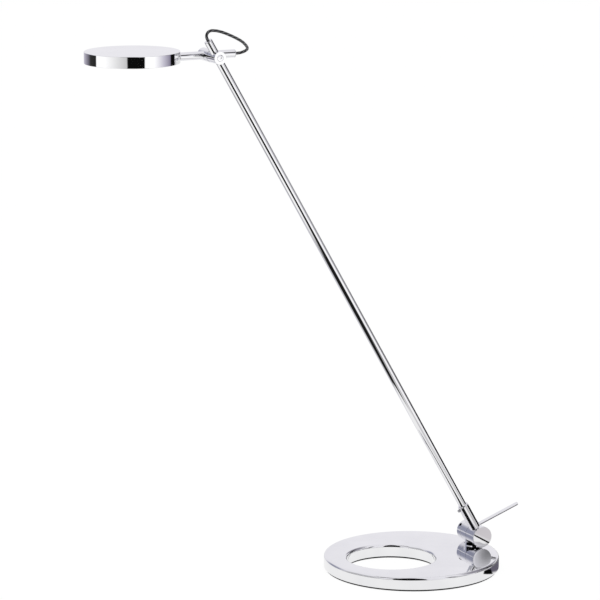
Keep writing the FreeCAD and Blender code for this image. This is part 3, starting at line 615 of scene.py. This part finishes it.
def edgesAt(bm, height):
    # edges that lie level at a height and part two faces at a corner
    found = []
    for e in bm.edges:
        level = all(abs(v.co.z - height) < smoothing["weld"] for v in e.verts)
        if level and isCorner(e, smoothing["sharpAngle"]):
            found.append(e)
    return found


def makeBaseRing():
    low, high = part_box("base_ring")
    radius = (high.x - low.x) / 2
    towardsPost = (-baseCentre).normalized()
    bm = bmesh.new()
    bmesh.ops.create_circle(bm, segments=base["steps"], radius=radius)
    rim = list(bm.edges)
    hole = bmesh.ops.create_circle(bm, segments=base["steps"], radius=base["holeRadius"])["verts"]
    bmesh.ops.translate(bm, vec=-towardsPost * base["holeOffset"], verts=hole)
    inside = [e for e in bm.edges if e not in rim]
    bmesh.ops.bridge_loops(bm, edges=rim + inside)
    bmesh.ops.translate(bm, vec=(0, 0, low.z), verts=bm.verts)
    top = bmesh.ops.extrude_face_region(bm, geom=list(bm.faces))["geom"]
    lifted = [v for v in top if isinstance(v, bmesh.types.BMVert)]
    bmesh.ops.translate(bm, vec=(0, 0, high.z - low.z), verts=lifted)
    bmesh.ops.recalc_face_normals(bm, faces=bm.faces)
    rounded(bm, edgesAt(bm, high.z), base["rounding"], base["roundingSteps"])
    rounded(bm, edgesAt(bm, low.z), base["underBevel"], base["underSteps"])
    ring = addPiece(bm, "baseRing", Matrix.Translation(baseCentre))
    outwards = Vector((math.cos(base["glandBearing"]), math.sin(base["glandBearing"]), 0))
    rimPoint = baseCentre + outwards * radius + upwards * base["glandHeight"]
    combine(ring, [
        rodCutter(base["glandBore"], -base["glandDepth"], base["glandDepth"],
                  axisPlace(rimPoint, outwards)),
        rodCutter(base["recessRadius"], 0, base["recessTop"], postPlace, base["steps"]),
        rodCutter(base["bushRadius"], 0, high.z * 2, postPlace, base["steps"])])
    settle(ring, "chrome_steel", "base", "base_ring")
    return outwards, rimPoint


gland = {
    "sleeveRadius": 0.0044,
    "flangeRadius": 0.0052,
    "boreRadius": 0.0031,
    "depth": 0.012,
    "lip": 0.0013,
    "steps": 48,
    "edge": 0.00015,
}


def makeCableGland(outwards, rimPoint):
    half = gland["lip"] / 2
    profile = [(gland["boreRadius"], -gland["depth"]), (gland["sleeveRadius"], -gland["depth"]),
               (gland["sleeveRadius"], lamp["fit"]), (gland["flangeRadius"], lamp["fit"]),
               (gland["flangeRadius"], half), (gland["sleeveRadius"], gland["lip"]),
               (gland["boreRadius"], gland["lip"])]
    turnedPiece("cableGland", profile, axisPlace(rimPoint, outwards), "pad_rubber", "base",
                "cable_gland", steps=gland["steps"], edge=gland["edge"])


# barrel

barrel = {
    "steps": 160,
    "edge": 0.00028,
    "collarEdge": 0.000224,
    "seam": 0.0003,
    "seamEdge": 0.0001,
    "bossRadius": 0.00405,
    "bossDepth": 0.00125,
    "shaftRadius": 0.00405,
    "shaftSeat": 0.00575,
    "washerRadius": 0.00935,
    "bushRadius": 0.00555,
    "springBore": 0.0095,
    "web": 0.0036,
    "neckRadius": 0.0108,
    "neckSkirt": 0.0007,
    "studRadius": 0.006,
    "studEnd": 0.0006,
    "studLift": 0.0002,
    "reliefMargin": 0.0003,
    "coreMargin": 0.0001,
    "coreOverrun": 0.002,
    "stemRadius": 0.00405,
    "stemFloor": 0.00495,
    "screwHeadRadius": 0.0038,
    "screwHeadHeight": 0.002,
    "screwRadius": 0.002,
    "screwLength": 0.006,
    "screwSink": 0.0002,
    "screwSteps": 64,
    "screwEdge": 0.0002,
    "keyRadius": 0.0017,
    "keyDepth": 0.0011,
    "collarWeb": 0.0018,
    "collarCavity": 0.002,
    "barHoleRadius": 0.00205,
    "barHoleFloor": 0.005,
    "barHoles": 3,
    "barRise": math.radians(20),
    "capDome": 0.0002,
    "domeSteps": (0.2, 0.4, 0.6, 0.8, 1.0),
}


def makeFrontCap():
    radius = extent("front_cap").z / 2
    face = sideSpan("front_cap")[0]
    back = sideSpan("arm_hub")[0]
    boss = barrel["bossRadius"] - lamp["fit"]
    bossEnd = back + barrel["bossDepth"] - lamp["fit"]
    dome = [(radius * share, face + barrel["capDome"] * share ** 2)
            for share in barrel["domeSteps"]]
    profile = [(0, face), *dome, (radius, back), (boss, back), (boss, bossEnd), (0, bossEnd)]
    turnedPiece("frontCap", profile, barrelPlace, "mirror_chrome", "arm", "front_cap",
                steps=barrel["steps"], edge=barrel["edge"])


def makeArmHub():
    radius = extent("front_cap").z / 2
    front, rear = sideSpan("arm_hub")
    bossEnd = front + barrel["bossDepth"]
    shaftEnd = rear - barrel["shaftSeat"]
    profile = [(0, bossEnd), (barrel["bossRadius"], bossEnd), (barrel["bossRadius"], front),
               (radius, front), (radius, rear), (barrel["shaftRadius"], rear),
               (barrel["shaftRadius"], shaftEnd), (0, shaftEnd)]
    stemHole = rodCutter(barrel["stemRadius"], barrel["stemFloor"], 2 * radius, armPlace)
    turnedPiece("armHub", profile, barrelPlace, "chrome_steel", "arm", "arm_hub",
                steps=barrel["steps"], edge=barrel["seamEdge"], cutters=[stemHole])


def makeBarrelHousing():
    radius = extent("front_cap").z / 2
    seam = sideSpan("arm_hub")[1] + barrel["seam"]
    rear = sideSpan("tension_collar")[0] - barrel["seam"]
    recess = sideSpan("hub_washer")[1]
    web = recess + barrel["web"]
    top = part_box("base_ring")[1].z
    spring = barrel["springBore"]
    drum = lathe([(barrel["washerRadius"], seam), (radius, seam), (radius, rear), (spring, rear),
                  (spring, web), (barrel["bushRadius"], web), (barrel["bushRadius"], recess),
                  (barrel["washerRadius"], recess)], barrel["steps"], barrel["seamEdge"])
    housing = addPiece(drum, "barrelHousing", barrelPlace)
    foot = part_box("post_nut")[0].z - barrel["studEnd"] + barrel["studLift"]
    neck = lathe([(0, foot), (barrel["studRadius"], foot), (barrel["studRadius"], top),
                  (barrel["neckRadius"], top), (barrel["neckRadius"], barrelAxis.z),
                  (0, barrelAxis.z)], barrel["steps"])
    stem = addPiece(neck, "stem", postPlace)
    # a block that cuts the neck back under the arm's hub
    relief = bmesh.new()
    bmesh.ops.create_cube(relief, size=1)
    width = 2 * (barrel["neckRadius"] + barrel["reliefMargin"])
    reliefMiddle = Vector((0, seam - width / 2, top + barrel["neckSkirt"] + width / 2))
    reliefSize = Matrix.Diagonal((width, width, width, 1))
    reliefBlock = addPiece(relief, "relief", Matrix.Translation(reliefMiddle) @ reliefSize)
    core = rodCutter(spring, seam - barrel["coreMargin"], rear + barrel["coreOverrun"],
                     barrelPlace, barrel["steps"])
    combine(stem, [reliefBlock, core])
    combine(housing, [stem], "UNION")
    settle(housing, "chrome_steel", "swivel", "barrel_housing")


def makeTensionCollar():
    radius = extent("front_cap").z / 2
    front, rear = sideSpan("tension_collar")
    floor = rear - barrel["screwHeadHeight"] - barrel["screwSink"]
    shaftEnd = floor - barrel["collarWeb"]
    headWay = barrel["screwHeadRadius"] + lamp["fit"]
    screwWay = barrel["screwRadius"] + lamp["fit"]
    cavity = front + barrel["collarCavity"]
    spring = barrel["springBore"]
    shaft = barrel["shaftRadius"]
    profile = [(spring, front), (radius, front), (radius, rear), (headWay, rear), (headWay, floor),
               (screwWay, floor), (screwWay, shaftEnd), (shaft, shaftEnd), (shaft, cavity),
               (spring, cavity)]
    barMiddle = middle("tension_bar")
    holes = []
    for index in range(barrel["barHoles"]):
        rise = barrel["barRise"] + index * fullTurn / barrel["barHoles"]
        way = Vector((math.cos(rise), 0, math.sin(rise)))
        start = Vector((0, barMiddle.y, barrelAxis.z))
        holes.append(rodCutter(barrel["barHoleRadius"], barrel["barHoleFloor"], 2 * radius,
                               axisPlace(start, way)))
    turnedPiece("tensionCollar", profile, barrelPlace, "chrome_steel", "tension", "tension_collar",
                steps=barrel["steps"], edge=barrel["collarEdge"], cutters=holes)


def makeCollarScrew():
    top = sideSpan("collar_screw")[1]
    under = top - barrel["screwHeadHeight"]
    tip = under - barrel["screwLength"]
    profile = [(0, tip), (barrel["screwRadius"], tip), (barrel["screwRadius"], under),
               (barrel["screwHeadRadius"], under), (barrel["screwHeadRadius"], top), (0, top)]
    turnedPiece("collarScrew", profile, barrelPlace, "plain_steel", "arm", "collar_screw",
                steps=barrel["screwSteps"], edge=barrel["screwEdge"],
                cutters=[keySocket(barrel, top, barrelPlace)])


bar = {
    "steps": 64,
    "radius": 0.002,
    "foot": 0.00505,
    "reach": 0.0705,
    "edge": 0.0005,
}


def makeTensionBar():
    rise = barrel["barRise"]
    place = axisPlace(Vector((0, middle("tension_bar").y, barrelAxis.z)),
                      Vector((math.cos(rise), 0, math.sin(rise))))
    profile = [(0, bar["foot"]), (bar["radius"], bar["foot"]), (bar["radius"], bar["reach"]),
               (0, bar["reach"])]
    turnedPiece("tensionBar", profile, place, "tube_chrome", "tension", "tension_bar",
                steps=bar["steps"], edge=bar["edge"])


# arm

arm = {
    "steps": 96,
    "socketRadius": 0.0063,
    "socketFoot": 0.0129,
    "socketTop": 0.045,
    "socketEdge": 0.0005,
    "tubeSeat": 0.015,
    "tubeRadius": 0.0045,
    "boreRadius": 0.0035,
    "wireWay": 0.0017,
    "tubeEdge": 0.00012,
    "stemRadius": 0.004,
    "stemEnd": 0.005,
    "collarRadius": 0.005,
    "collarHeight": 0.0008,
    "screwPlace": 0.042,
    "screwRadius": 0.00175,
    "screwProud": 0.0022,
    "screwTip": 0.0002,
    "screwSteps": 48,
    "threadPitch": 0.0005,
    "threadDepth": 0.00018,
    "keyRadius": 0.0009,
    "keyDepth": 0.0014,
    "bushRim": 0.001,
    "bushSleeve": 0.006,
    "bushEdge": 0.0004,
}


def makeArmSocket():
    seat = arm["tubeRadius"] + lamp["fit"]
    collar = arm["socketFoot"] - arm["collarHeight"]
    profile = [(arm["wireWay"], arm["stemEnd"]), (arm["stemRadius"], arm["stemEnd"]),
               (arm["stemRadius"], collar), (arm["collarRadius"], collar),
               (arm["collarRadius"], arm["socketFoot"]), (arm["socketRadius"], arm["socketFoot"]),
               (arm["socketRadius"], arm["socketTop"]), (seat, arm["socketTop"]),
               (seat, arm["tubeSeat"]), (arm["wireWay"], arm["tubeSeat"])]
    screwHole = rodCutter(arm["screwRadius"] + lamp["fit"], 0, 2 * arm["socketRadius"],
                          clampPlace())
    turnedPiece("armSocket", profile, armPlace, "chrome_steel", "arm", "arm_socket",
                steps=arm["steps"], edge=arm["socketEdge"] / 2, cutters=[screwHole])


def clampPlace():
    # square to the arm, on the side away from the bar
    across = Vector((-math.cos(lamp["armLean"]), 0, -math.sin(lamp["armLean"])))
    return axisPlace(armPlace @ Vector((0, 0, arm["screwPlace"])), across)


def makeClampScrew():
    start = arm["tubeRadius"] + lamp["fit"]
    end = arm["socketRadius"] + arm["screwProud"]
    root = arm["screwRadius"] - arm["threadDepth"]
    profile = [(0, start), (root, start)]
    height = start
    while height + arm["threadPitch"] < end - arm["threadPitch"]:
        profile.append((arm["screwRadius"], height + arm["threadPitch"] / 2))
        height += arm["threadPitch"]
        profile.append((root, height))
    profile += [(arm["screwRadius"], height + arm["threadPitch"] / 2),
                (arm["screwRadius"], end - arm["screwTip"]), (root, end), (0, end)]
    turnedPiece("clampScrew", profile, clampPlace(), "plain_steel", "arm", "clamp_screw",
                steps=arm["screwSteps"], cutters=[keySocket(arm, end, clampPlace())])


def tubePiece(name, low, high, place, body, node):
    profile = [(arm["boreRadius"], low), (arm["tubeRadius"], low), (arm["tubeRadius"], high),
               (arm["boreRadius"], high)]
    turnedPiece(name, profile, place, "tube_chrome", body, node, steps=arm["steps"],
                edge=arm["tubeEdge"])


def endBush(name, face, inwards, place, body, node):
    # plated rim on a tube's end; inwards is the sign of the way into the tube
    rim = face + inwards * arm["bushRim"]
    deep = rim + inwards * arm["bushSleeve"]
    sleeve = arm["boreRadius"] - lamp["fit"]
    profile = [(arm["wireWay"], face), (arm["tubeRadius"], face), (arm["tubeRadius"], rim),
               (sleeve, rim), (sleeve, deep), (arm["wireWay"], deep)]
    turnedPiece(name, profile, place, "mirror_chrome", body, node, steps=arm["steps"],
                edge=arm["bushEdge"])


# head pivot

joint = {
    "steps": 128,
    "edge": 0.00035,
    "seamEdge": 0.0001,
    "spigotRadius": 0.004,
    "spigotLength": 0.0072,
    "grooveDepth": 0.0008,
    "grooveHalf": 0.0018,
    "dragPlace": 0.0031,
    "dragRadius": 0.0015,
    "dragSteps": 48,
    "dragEdge": 0.0001,
    "dragKeyShare": 0.8,
    "headRadius": 0.0035,
    "headHeight": 0.0013,
    "screwRadius": 0.0015,
    "screwSteps": 64,
    "screwEdge": 0.0002,
    "keyRadius": 0.0016,
    "keyDepth": 0.0009,
    "headGap": 0.0003,
}


def pivotCap(name, face, back, body, node):
    inwards = math.copysign(1, back - face)
    radius = extent("pivot_front_cap").z / 2
    seat = joint["headRadius"] + lamp["fit"]
    floor = face + inwards * (joint["headHeight"] + lamp["fit"])
    way = joint["screwRadius"] + lamp["fit"]
    profile = [(seat, face), (radius, face), (radius, back), (way, back), (way, floor),
               (seat, floor)]
    turnedPiece(name, profile, pivotPlace, "mirror_chrome", body, node,
                steps=joint["steps"], edge=joint["edge"] / 2)


def pivotScrew(name, face, tip, body, node):
    inwards = math.copysign(1, tip - face)
    under = face + inwards * joint["headHeight"]
    profile = [(0, face), (joint["headRadius"], face), (joint["headRadius"], under),
               (joint["screwRadius"], under), (joint["screwRadius"], tip), (0, tip)]
    turnedPiece(name, profile, pivotPlace, "mirror_chrome", body, node,
                steps=joint["screwSteps"], edge=joint["screwEdge"],
                cutters=[keySocket(joint, face, pivotPlace)])


def makePivotArmHub():
    radius = extent("pivot_front_cap").z / 2
    front = sideSpan("pivot_front_cap")[1]
    seam = sideSpan("pivot_washer")[0]
    spigot = joint["spigotRadius"]
    groove = spigot - joint["grooveDepth"]
    low = joint["dragPlace"] - joint["grooveHalf"]
    high = joint["dragPlace"] + joint["grooveHalf"]
    end = seam + joint["spigotLength"]
    profile = [(0, front), (radius, front), (radius, seam), (spigot, seam), (spigot, low),
               (groove, low), (groove, high), (spigot, high), (spigot, end), (0, end)]
    crossBore = rodCutter(arm["tubeRadius"] + lamp["fit"], lamp["armReach"] - 2 * radius,
                          lamp["armReach"] + 2 * radius, armPlace, arm["steps"])
    screwBore = rodCutter(joint["screwRadius"] + lamp["fit"], front - radius, armY, pivotPlace)
    turnedPiece("pivotArmHub", profile, pivotPlace, "chrome_steel", "arm", "pivot_arm_hub",
                steps=joint["steps"], edge=joint["seamEdge"], cutters=[crossBore, screwBore])


def makePivotHeadHub():
    radius = extent("pivot_front_cap").z / 2
    front = sideSpan("pivot_washer")[1]
    rear = sideSpan("pivot_rear_cap")[0]
    floor = sideSpan("pivot_washer")[0] + joint["spigotLength"] + joint["headGap"]
    way = joint["spigotRadius"] + lamp["fit"]
    profile = [(way, front), (radius, front), (radius, rear), (0, rear), (0, floor), (way, floor)]
    crossBore = rodCutter(arm["tubeRadius"] + lamp["fit"], -2 * radius, 2 * radius,
                          headTubePlace, arm["steps"])
    screwBore = rodCutter(joint["screwRadius"] + lamp["fit"], tubeY, rear + radius, pivotPlace)
    dragPlace = axisPlace(pivot + sideways * joint["dragPlace"], -upwards)
    dragBore = rodCutter(joint["dragRadius"] + lamp["fit"], 0, 2 * radius, dragPlace)
    turnedPiece("pivotHeadHub", profile, pivotPlace, "chrome_steel", "head", "pivot_head_hub",
                steps=joint["steps"], edge=joint["seamEdge"],
                cutters=[crossBore, screwBore, dragBore])


def makeDragScrew():
    low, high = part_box("drag_screw")
    place = Matrix.Translation((pivot.x, joint["dragPlace"], 0))
    profile = [(0, low.z), (joint["dragRadius"], low.z), (joint["dragRadius"], high.z),
               (0, high.z)]
    socket = rodCutter(arm["keyRadius"] * joint["dragKeyShare"], low.z - arm["keyDepth"],
                       low.z + arm["keyDepth"], place, lamp["keySides"])
    turnedPiece("dragScrew", profile, place, "dark_screw", "head", "drag_screw",
                steps=joint["dragSteps"], edge=joint["dragEdge"], cutters=[socket])


# head

head = {
    "steps": 256,
    "tubeReach": 0.034,
    "ferrule": 0.00345,
    "noseRadius": 0.0027,
    "studRadius": 0.002,
    "studEnd": 0.0423,
    "wayRadius": 0.0012,
    "ferruleEdge": 0.0001,
    "edge": 0.00035,
    "height": 0.0125,
    "wall": 0.006,
    "ledge": 0.002,
    "seatDepth": 0.0026,
    "cavityDepth": 0.008,
    "lensThickness": 0.0018,
    "lensEdge": 0.0001,
    "bezelLip": 0.0024,
    "bezelEdge": 0.00015,
}


def makeHeadFerrule():
    nose = head["tubeReach"] + head["ferrule"]
    sleeve = arm["boreRadius"] - lamp["fit"]
    inner = head["tubeReach"] - arm["bushSleeve"]
    profile = [(head["wayRadius"], inner), (sleeve, inner), (sleeve, head["tubeReach"]),
               (arm["tubeRadius"], head["tubeReach"]), (head["noseRadius"], nose),
               (head["studRadius"], nose), (head["studRadius"], head["studEnd"]),
               (head["wayRadius"], head["studEnd"])]
    turnedPiece("headFerrule", profile, headTubePlace, "chrome_steel", "head", "head_ferrule",
                steps=arm["steps"], edge=head["ferruleEdge"])


def makeHeadShell():
    outer = extent("head_shell").x / 2
    seat = outer - head["wall"]
    cavity = seat - head["ledge"]
    under = -head["height"]
    ledge = under + head["seatDepth"]
    ceiling = under + head["cavityDepth"]
    profile = [(0, 0), (outer, 0), (outer, under), (seat, under), (seat, ledge), (cavity, ledge),
               (cavity, ceiling), (0, ceiling)]
    studHole = rodCutter(head["studRadius"] + lamp["fit"], head["tubeReach"],
                         head["tubeReach"] + head["wall"] + 2 * head["ledge"] + head["ferrule"],
                         headTubePlace)
    turnedPiece("headShell", profile, headPlace, "head_metal", "head", "head_shell",
                steps=head["steps"], edge=head["edge"], cutters=[studHole])


def makeDiffuser():
    seat = extent("head_shell").x / 2 - head["wall"] - lamp["fit"]
    top = head["seatDepth"] - head["height"]
    under = top - head["lensThickness"]
    turnedPiece("diffuser", [(0, under), (seat, under), (seat, top), (0, top)], headPlace,
                "opal_acrylic", "head", "diffuser", steps=head["steps"], edge=head["lensEdge"])
    inner = seat - head["bezelLip"]
    foot = -head["height"]
    profile = [(inner, foot), (seat, foot), (seat, under), (inner, under)]
    turnedPiece("diffuserRing", profile, headPlace, "head_metal", "head", "diffuser_ring",
                steps=head["steps"], edge=head["bezelEdge"])


# build the lamp

makeCableLoop()
glandWay, glandPoint = makeBaseRing()
makeCableGland(glandWay, glandPoint)
print("base made")
makeFrontCap()
makeArmHub()
makeBarrelHousing()
makeTensionCollar()
makeCollarScrew()
makeTensionBar()
print("barrel made")
makeArmSocket()
makeClampScrew()
armEnd = cable["tubeEnd"]
tubePiece("armTube", arm["tubeSeat"], armEnd - arm["bushRim"], armPlace, "arm", "arm_tube")
endBush("armTubeBush", armEnd, -1, armPlace, "arm", "arm_tube_bush")
print("arm made")
frontFace, frontBack = sideSpan("pivot_front_cap")
rearBack, rearFace = sideSpan("pivot_rear_cap")
pivotCap("pivotFrontCap", frontFace, frontBack, "arm", "pivot_front_cap")
pivotCap("pivotRearCap", rearFace, rearBack, "head", "pivot_rear_cap")
frontTip = sideSpan("pivot_front_screw")[1]
rearTip = sideSpan("pivot_rear_screw")[0]
pivotScrew("pivotFrontScrew", frontFace, frontTip, "arm", "pivot_front_screw")
pivotScrew("pivotRearScrew", rearFace, rearTip, "head", "pivot_rear_screw")
makePivotArmHub()
makePivotHeadHub()
makeDragScrew()
print("head pivot made")
tailEnd = -cable["tail"]
tubePiece("headTube", tailEnd + arm["bushRim"], head["tubeReach"], headTubePlace, "head",
          "head_tube")
endBush("tailBush", tailEnd, 1, headTubePlace, "head", "tail_bush")
makeHeadFerrule()
makeHeadShell()
makeDiffuser()
print("head made")


# finishes of the nodes that stay as they come

def dressNodes():
    slots = {part["node"]: part["material_slot"] for part in frame["record"]["subparts"]}
    for name, node in frame["nodes"].items():
        node.data.materials.clear()
        node.data.materials.append(finishes[slots[name]])
    print("nodes dressed:", len(slots))


dressNodes()


# studio: a pale sweep, with the dark gaps and grey panels that the chrome mirrors

studio = {
    "cameraBearing": math.radians(-116.5),
    "floorSize": 6.0,
    "floorSides": 96,
    "floorDrop": 0.0002,
    "floorTone": 0.9,
    "sweepTone": 1.04,
    "whiteShare": 0.9,
    "mirroredReach": 1.7,
    "apronReach": 0.185,
    "apronEdge": 0.012,
    "apronTone": 0.93,
    "groundTone": 1.02,
    "horizon": -5,
    "horizonEdge": 2,
    "roomLight": 0.75,
    "keyPower": 6.0,
    "keyPlace": (-0.9, -1.1, 1.9),
    "keySize": 1.4,
    "wallTone": 0.86,
    "wallTint": 0.035,
    "greenLoss": 0.3,
}

# left, right, low and high in degrees round the lamp and above the floor, softness, then colour
wallPanels = {
    "leftGreyScreen": (-98, -48, -6, 42, 16, (0.50, 0.50, 0.52)),
    "leftLavenderScreen": (-142, -104, -20, 29, 24, (0.30, 0.31, 0.40)),
    "rightGreyScreen": (84, 163, 16, 52, 14, (0.30, 0.29, 0.33)),
    "rightMidGrey": (90, 142, 5.5, 9.5, 2, (0.34, 0.34, 0.36)),
    "rightHighGap": (94, 134, 9.5, 14, 2, (0.015, 0.015, 0.016)),
    "rightGap": (116, 134, 12, 38, 8, (0.02, 0.02, 0.022)),
    "rightLowGap": (88, 154, -6, 5.5, 4, (0.012, 0.012, 0.014)),
    "lowShade": (54, 78, 2, 18, 9, (0.24, 0.24, 0.25)),
    "slimFlag": (51, 63, 20, 45, 2.5, (0.008, 0.008, 0.008)),
    "leftFlag": (-62, -2, 45, 61, 3, (0.012, 0.012, 0.013)),
    "gapBehindCamera": (-26, 19, -5, 86, 3, (0.008, 0.008, 0.009)),
}

# left, right, near and far in metres on the floor, softness, then colour
floorCards = {
    "backLeftGrey": (-0.62, -0.02, 0.17, 1.30, 0.25, (0.60, 0.60, 0.66)),
    "farLeftGrey": (-0.80, -0.52, 0.10, 0.90, 0.14, (0.40, 0.40, 0.41)),
    "rightGrey": (0.06, 0.62, -0.52, -0.14, 0.16, (0.50, 0.50, 0.51)),
    "middleGrey": (-0.17, 0.0, -1.30, -0.19, 0.10, (0.60, 0.59, 0.61)),
    "nearGap": (-1.35, -0.08, -1.40, -0.44, 0.16, (0.008, 0.008, 0.008)),
    "softEdge": (-0.52, -0.21, -0.10, 0.14, 0.12, (0.26, 0.26, 0.26)),
    "darkCard": (-0.50, -0.20, -0.52, 0.04, 0.07, (0.012, 0.012, 0.012)),
}

# the same, but laid over the pale apron round the base
nearCards = {
    "besideBarrel": (0.025, 0.30, -0.07, 0.16, 0.03, (0.13, 0.125, 0.14)),
    "beforeBarrel": (0.050, 0.14, -0.22, -0.08, 0.02, (0.66, 0.63, 0.65)),
    "rimShade": (-0.002, 0.032, -0.090, -0.018, 0.012, (0.13, 0.12, 0.16)),
    "rimFlag": (-0.008, 0.013, -0.098, -0.076, 0.004, (0.003, 0.003, 0.003)),
    "slimStrip": (0.0430, 0.0485, -0.170, -0.045, 0.002, (0.004, 0.004, 0.004)),
}


def grey(tone, blue=0.0):
    # a tone with a little blue in it
    return (tone, tone * (1 - blue * studio["greenLoss"]), tone * (1 + blue))


black = grey(0.004)
white = grey(1.15)

# degrees to the right of the camera as the lamp sees it, each with its colour: the tall
# screens low down that the rim of the head mirrors
rimScreens = [
    (-180, grey(0.86)), (-162, grey(0.62, 0.12)), (-128, grey(0.22, 0.18)), (-115, grey(0.035)),
    (-93, grey(0.02)), (-92, white), (-65, white), (-9, grey(0.62)), (-8, black), (33, black),
    (34, white), (57, white), (84, grey(0.62, 0.12)), (107, grey(0.26, 0.25)), (109, black),
    (125, black), (128, grey(0.8)), (180, grey(0.86)),
]

# where the mix node keeps its two colours and its colour result
mixSockets = (6, 7)
mixResult = 2


def mixColours(tree, factor, first, second):
    # first and second are plain colours or (node, output) pairs
    mix = addNode(tree, "ShaderNodeMix", data_type="RGBA")
    join(tree, *factor, mix, "Factor")
    for socket, item in zip(mixSockets, (first, second)):
        if isinstance(item[0], bpy.types.Node):
            join(tree, *item, mix, socket)
        else:
            mix.inputs[socket].default_value = (*item, 1)
    return mix, mixResult


def addStep(tree, source, edge, softness, rising=True):
    step = addNode(tree, "ShaderNodeMapRange", interpolation_type="SMOOTHSTEP")
    step.inputs["From Min"].default_value = edge - softness / 2
    step.inputs["From Max"].default_value = edge + softness / 2
    step.inputs["To Min"].default_value = 0 if rising else 1
    step.inputs["To Max"].default_value = 1 if rising else 0
    join(tree, *source, step, "Value")
    return step, "Result"


def addPanels(tree, across, upward, ground, panels):
    # lays soft-edged panels over the ground, the last one on top
    for left, right, low, high, softness, colour in panels.values():
        sides = addMath(tree, "MULTIPLY", addStep(tree, across, left, softness),
                        addStep(tree, across, right, softness, False))
        ends = addMath(tree, "MULTIPLY", addStep(tree, upward, low, softness),
                       addStep(tree, upward, high, softness, False))
        ground = mixColours(tree, addMath(tree, "MULTIPLY", sides, ends), ground, colour)
    return ground


def whiteToEyes(tree, rays):
    # 1 for what the camera sees, straight or through glass
    return addMath(tree, "MAXIMUM", (rays, "Is Camera Ray"), (rays, "Is Transmission Ray"))


def makeWorld():
    world = bpy.data.worlds.new("studio")
    world.use_nodes = True
    bpy.context.scene.world = world
    tree = world.node_tree
    tree.nodes.clear()
    place = addNode(tree, "ShaderNodeTexCoord")
    turn = addNode(tree, "ShaderNodeMapping", vector_type="POINT")
    turn.inputs["Rotation"].default_value = (0, 0, -studio["cameraBearing"])
    join(tree, place, "Generated", turn, "Vector")
    parts = addNode(tree, "ShaderNodeSeparateXYZ")
    join(tree, turn, "Vector", parts, "Vector")
    bearing = addMath(tree, "ARCTAN2", (parts, "Y"), (parts, "X"))
    share = addMath(tree, "ADD", addMath(tree, "DIVIDE", bearing, fullTurn), 0.5)
    degrees = addMath(tree, "DEGREES", bearing)
    height = addMath(tree, "DEGREES", addMath(tree, "ARCSINE", (parts, "Z")))
    stops = [((around + 180) / 360, colour) for around, colour in rimScreens]
    screens = addRamp(tree, share, stops)
    plain = grey(studio["wallTone"], studio["wallTint"])
    walls = addPanels(tree, degrees, height, plain, wallPanels)
    low = addStep(tree, height, studio["horizon"], studio["horizonEdge"], False)
    mirrored = mixColours(tree, low, walls, (screens, "Color"))
    rays = addNode(tree, "ShaderNodeLightPath")
    lit = mixColours(tree, (rays, "Is Glossy Ray"), grey(studio["roomLight"]), mirrored)
    seen = mixColours(tree, whiteToEyes(tree, rays), lit, (1, 1, 1))
    background = addNode(tree, "ShaderNodeBackground")
    join(tree, *seen, background, "Color")
    output = addNode(tree, "ShaderNodeOutputWorld")
    join(tree, background, "Background", output, "Surface")


def makeFloor():
    bm = bmesh.new()
    bmesh.ops.create_circle(bm, segments=studio["floorSides"], radius=studio["floorSize"],
                            cap_ends=True)
    floor = addPiece(bm, "floor", Matrix.Translation(baseCentre - upwards * studio["floorDrop"]))
    material = bpy.data.materials.new("paleSweep")
    material.use_nodes = True
    tree = material.node_tree
    tree.nodes.clear()
    rays = addNode(tree, "ShaderNodeLightPath")
    place = addNode(tree, "ShaderNodeNewGeometry")
    spot = addNode(tree, "ShaderNodeSeparateXYZ")
    join(tree, place, "Position", spot, "Vector")
    diffuse = addNode(tree, "ShaderNodeBsdfDiffuse")
    diffuse.inputs["Color"].default_value = (*grey(studio["floorTone"]), 1)
    sweep = addNode(tree, "ShaderNodeEmission")
    sweep.inputs["Strength"].default_value = studio["sweepTone"]
    shownWhite = addMath(tree, "MULTIPLY", whiteToEyes(tree, rays), studio["whiteShare"])
    shown = addNode(tree, "ShaderNodeMixShader")
    join(tree, *shownWhite, shown, "Fac")
    join(tree, diffuse, "BSDF", shown, 1)
    join(tree, sweep, "Emission", shown, 2)
    # mirrors see the cards that lie round the lamp, and past them the screens
    cards = addNode(tree, "ShaderNodeEmission")
    offset = addNode(tree, "ShaderNodeVectorMath", operation="DISTANCE")
    join(tree, place, "Position", offset, 0)
    offset.inputs[1].default_value = baseCentre
    ground = grey(studio["groundTone"])
    dark = addPanels(tree, (spot, "X"), (spot, "Y"), ground, floorCards)
    apron = addStep(tree, (offset, "Value"), studio["apronReach"], studio["apronEdge"], False)
    ground = mixColours(tree, apron, dark, grey(studio["apronTone"]))
    join(tree, *addPanels(tree, (spot, "X"), (spot, "Y"), ground, nearCards), cards, "Color")
    far = addMath(tree, "GREATER_THAN", (offset, "Value"), studio["mirroredReach"])
    gap = addNode(tree, "ShaderNodeBsdfTransparent")
    mirrored = addNode(tree, "ShaderNodeMixShader")
    join(tree, *far, mirrored, "Fac")
    join(tree, cards, "Emission", mirrored, 1)
    join(tree, gap, "BSDF", mirrored, 2)
    surface = addNode(tree, "ShaderNodeMixShader")
    join(tree, rays, "Is Glossy Ray", surface, "Fac")
    join(tree, shown, "Shader", surface, 1)
    join(tree, mirrored, "Shader", surface, 2)
    output = addNode(tree, "ShaderNodeOutputMaterial")
    join(tree, surface, "Shader", output, "Surface")
    floor.data.materials.append(material)


def makeLights():
    data = bpy.data.lights.new("softbox", "AREA")
    data.shape = "SQUARE"
    data.size = studio["keySize"]
    data.energy = studio["keyPower"]
    light = bpy.data.objects.new("softbox", data)
    light.location = studio["keyPlace"]
    towardsLamp = middle("barrel_housing") - light.location
    light.rotation_euler = towardsLamp.to_track_quat("-Z", "Y").to_euler()
    light.visible_glossy = False
    bpy.context.scene.collection.objects.link(light)


makeWorld()
makeFloor()
makeLights()
print("studio made")
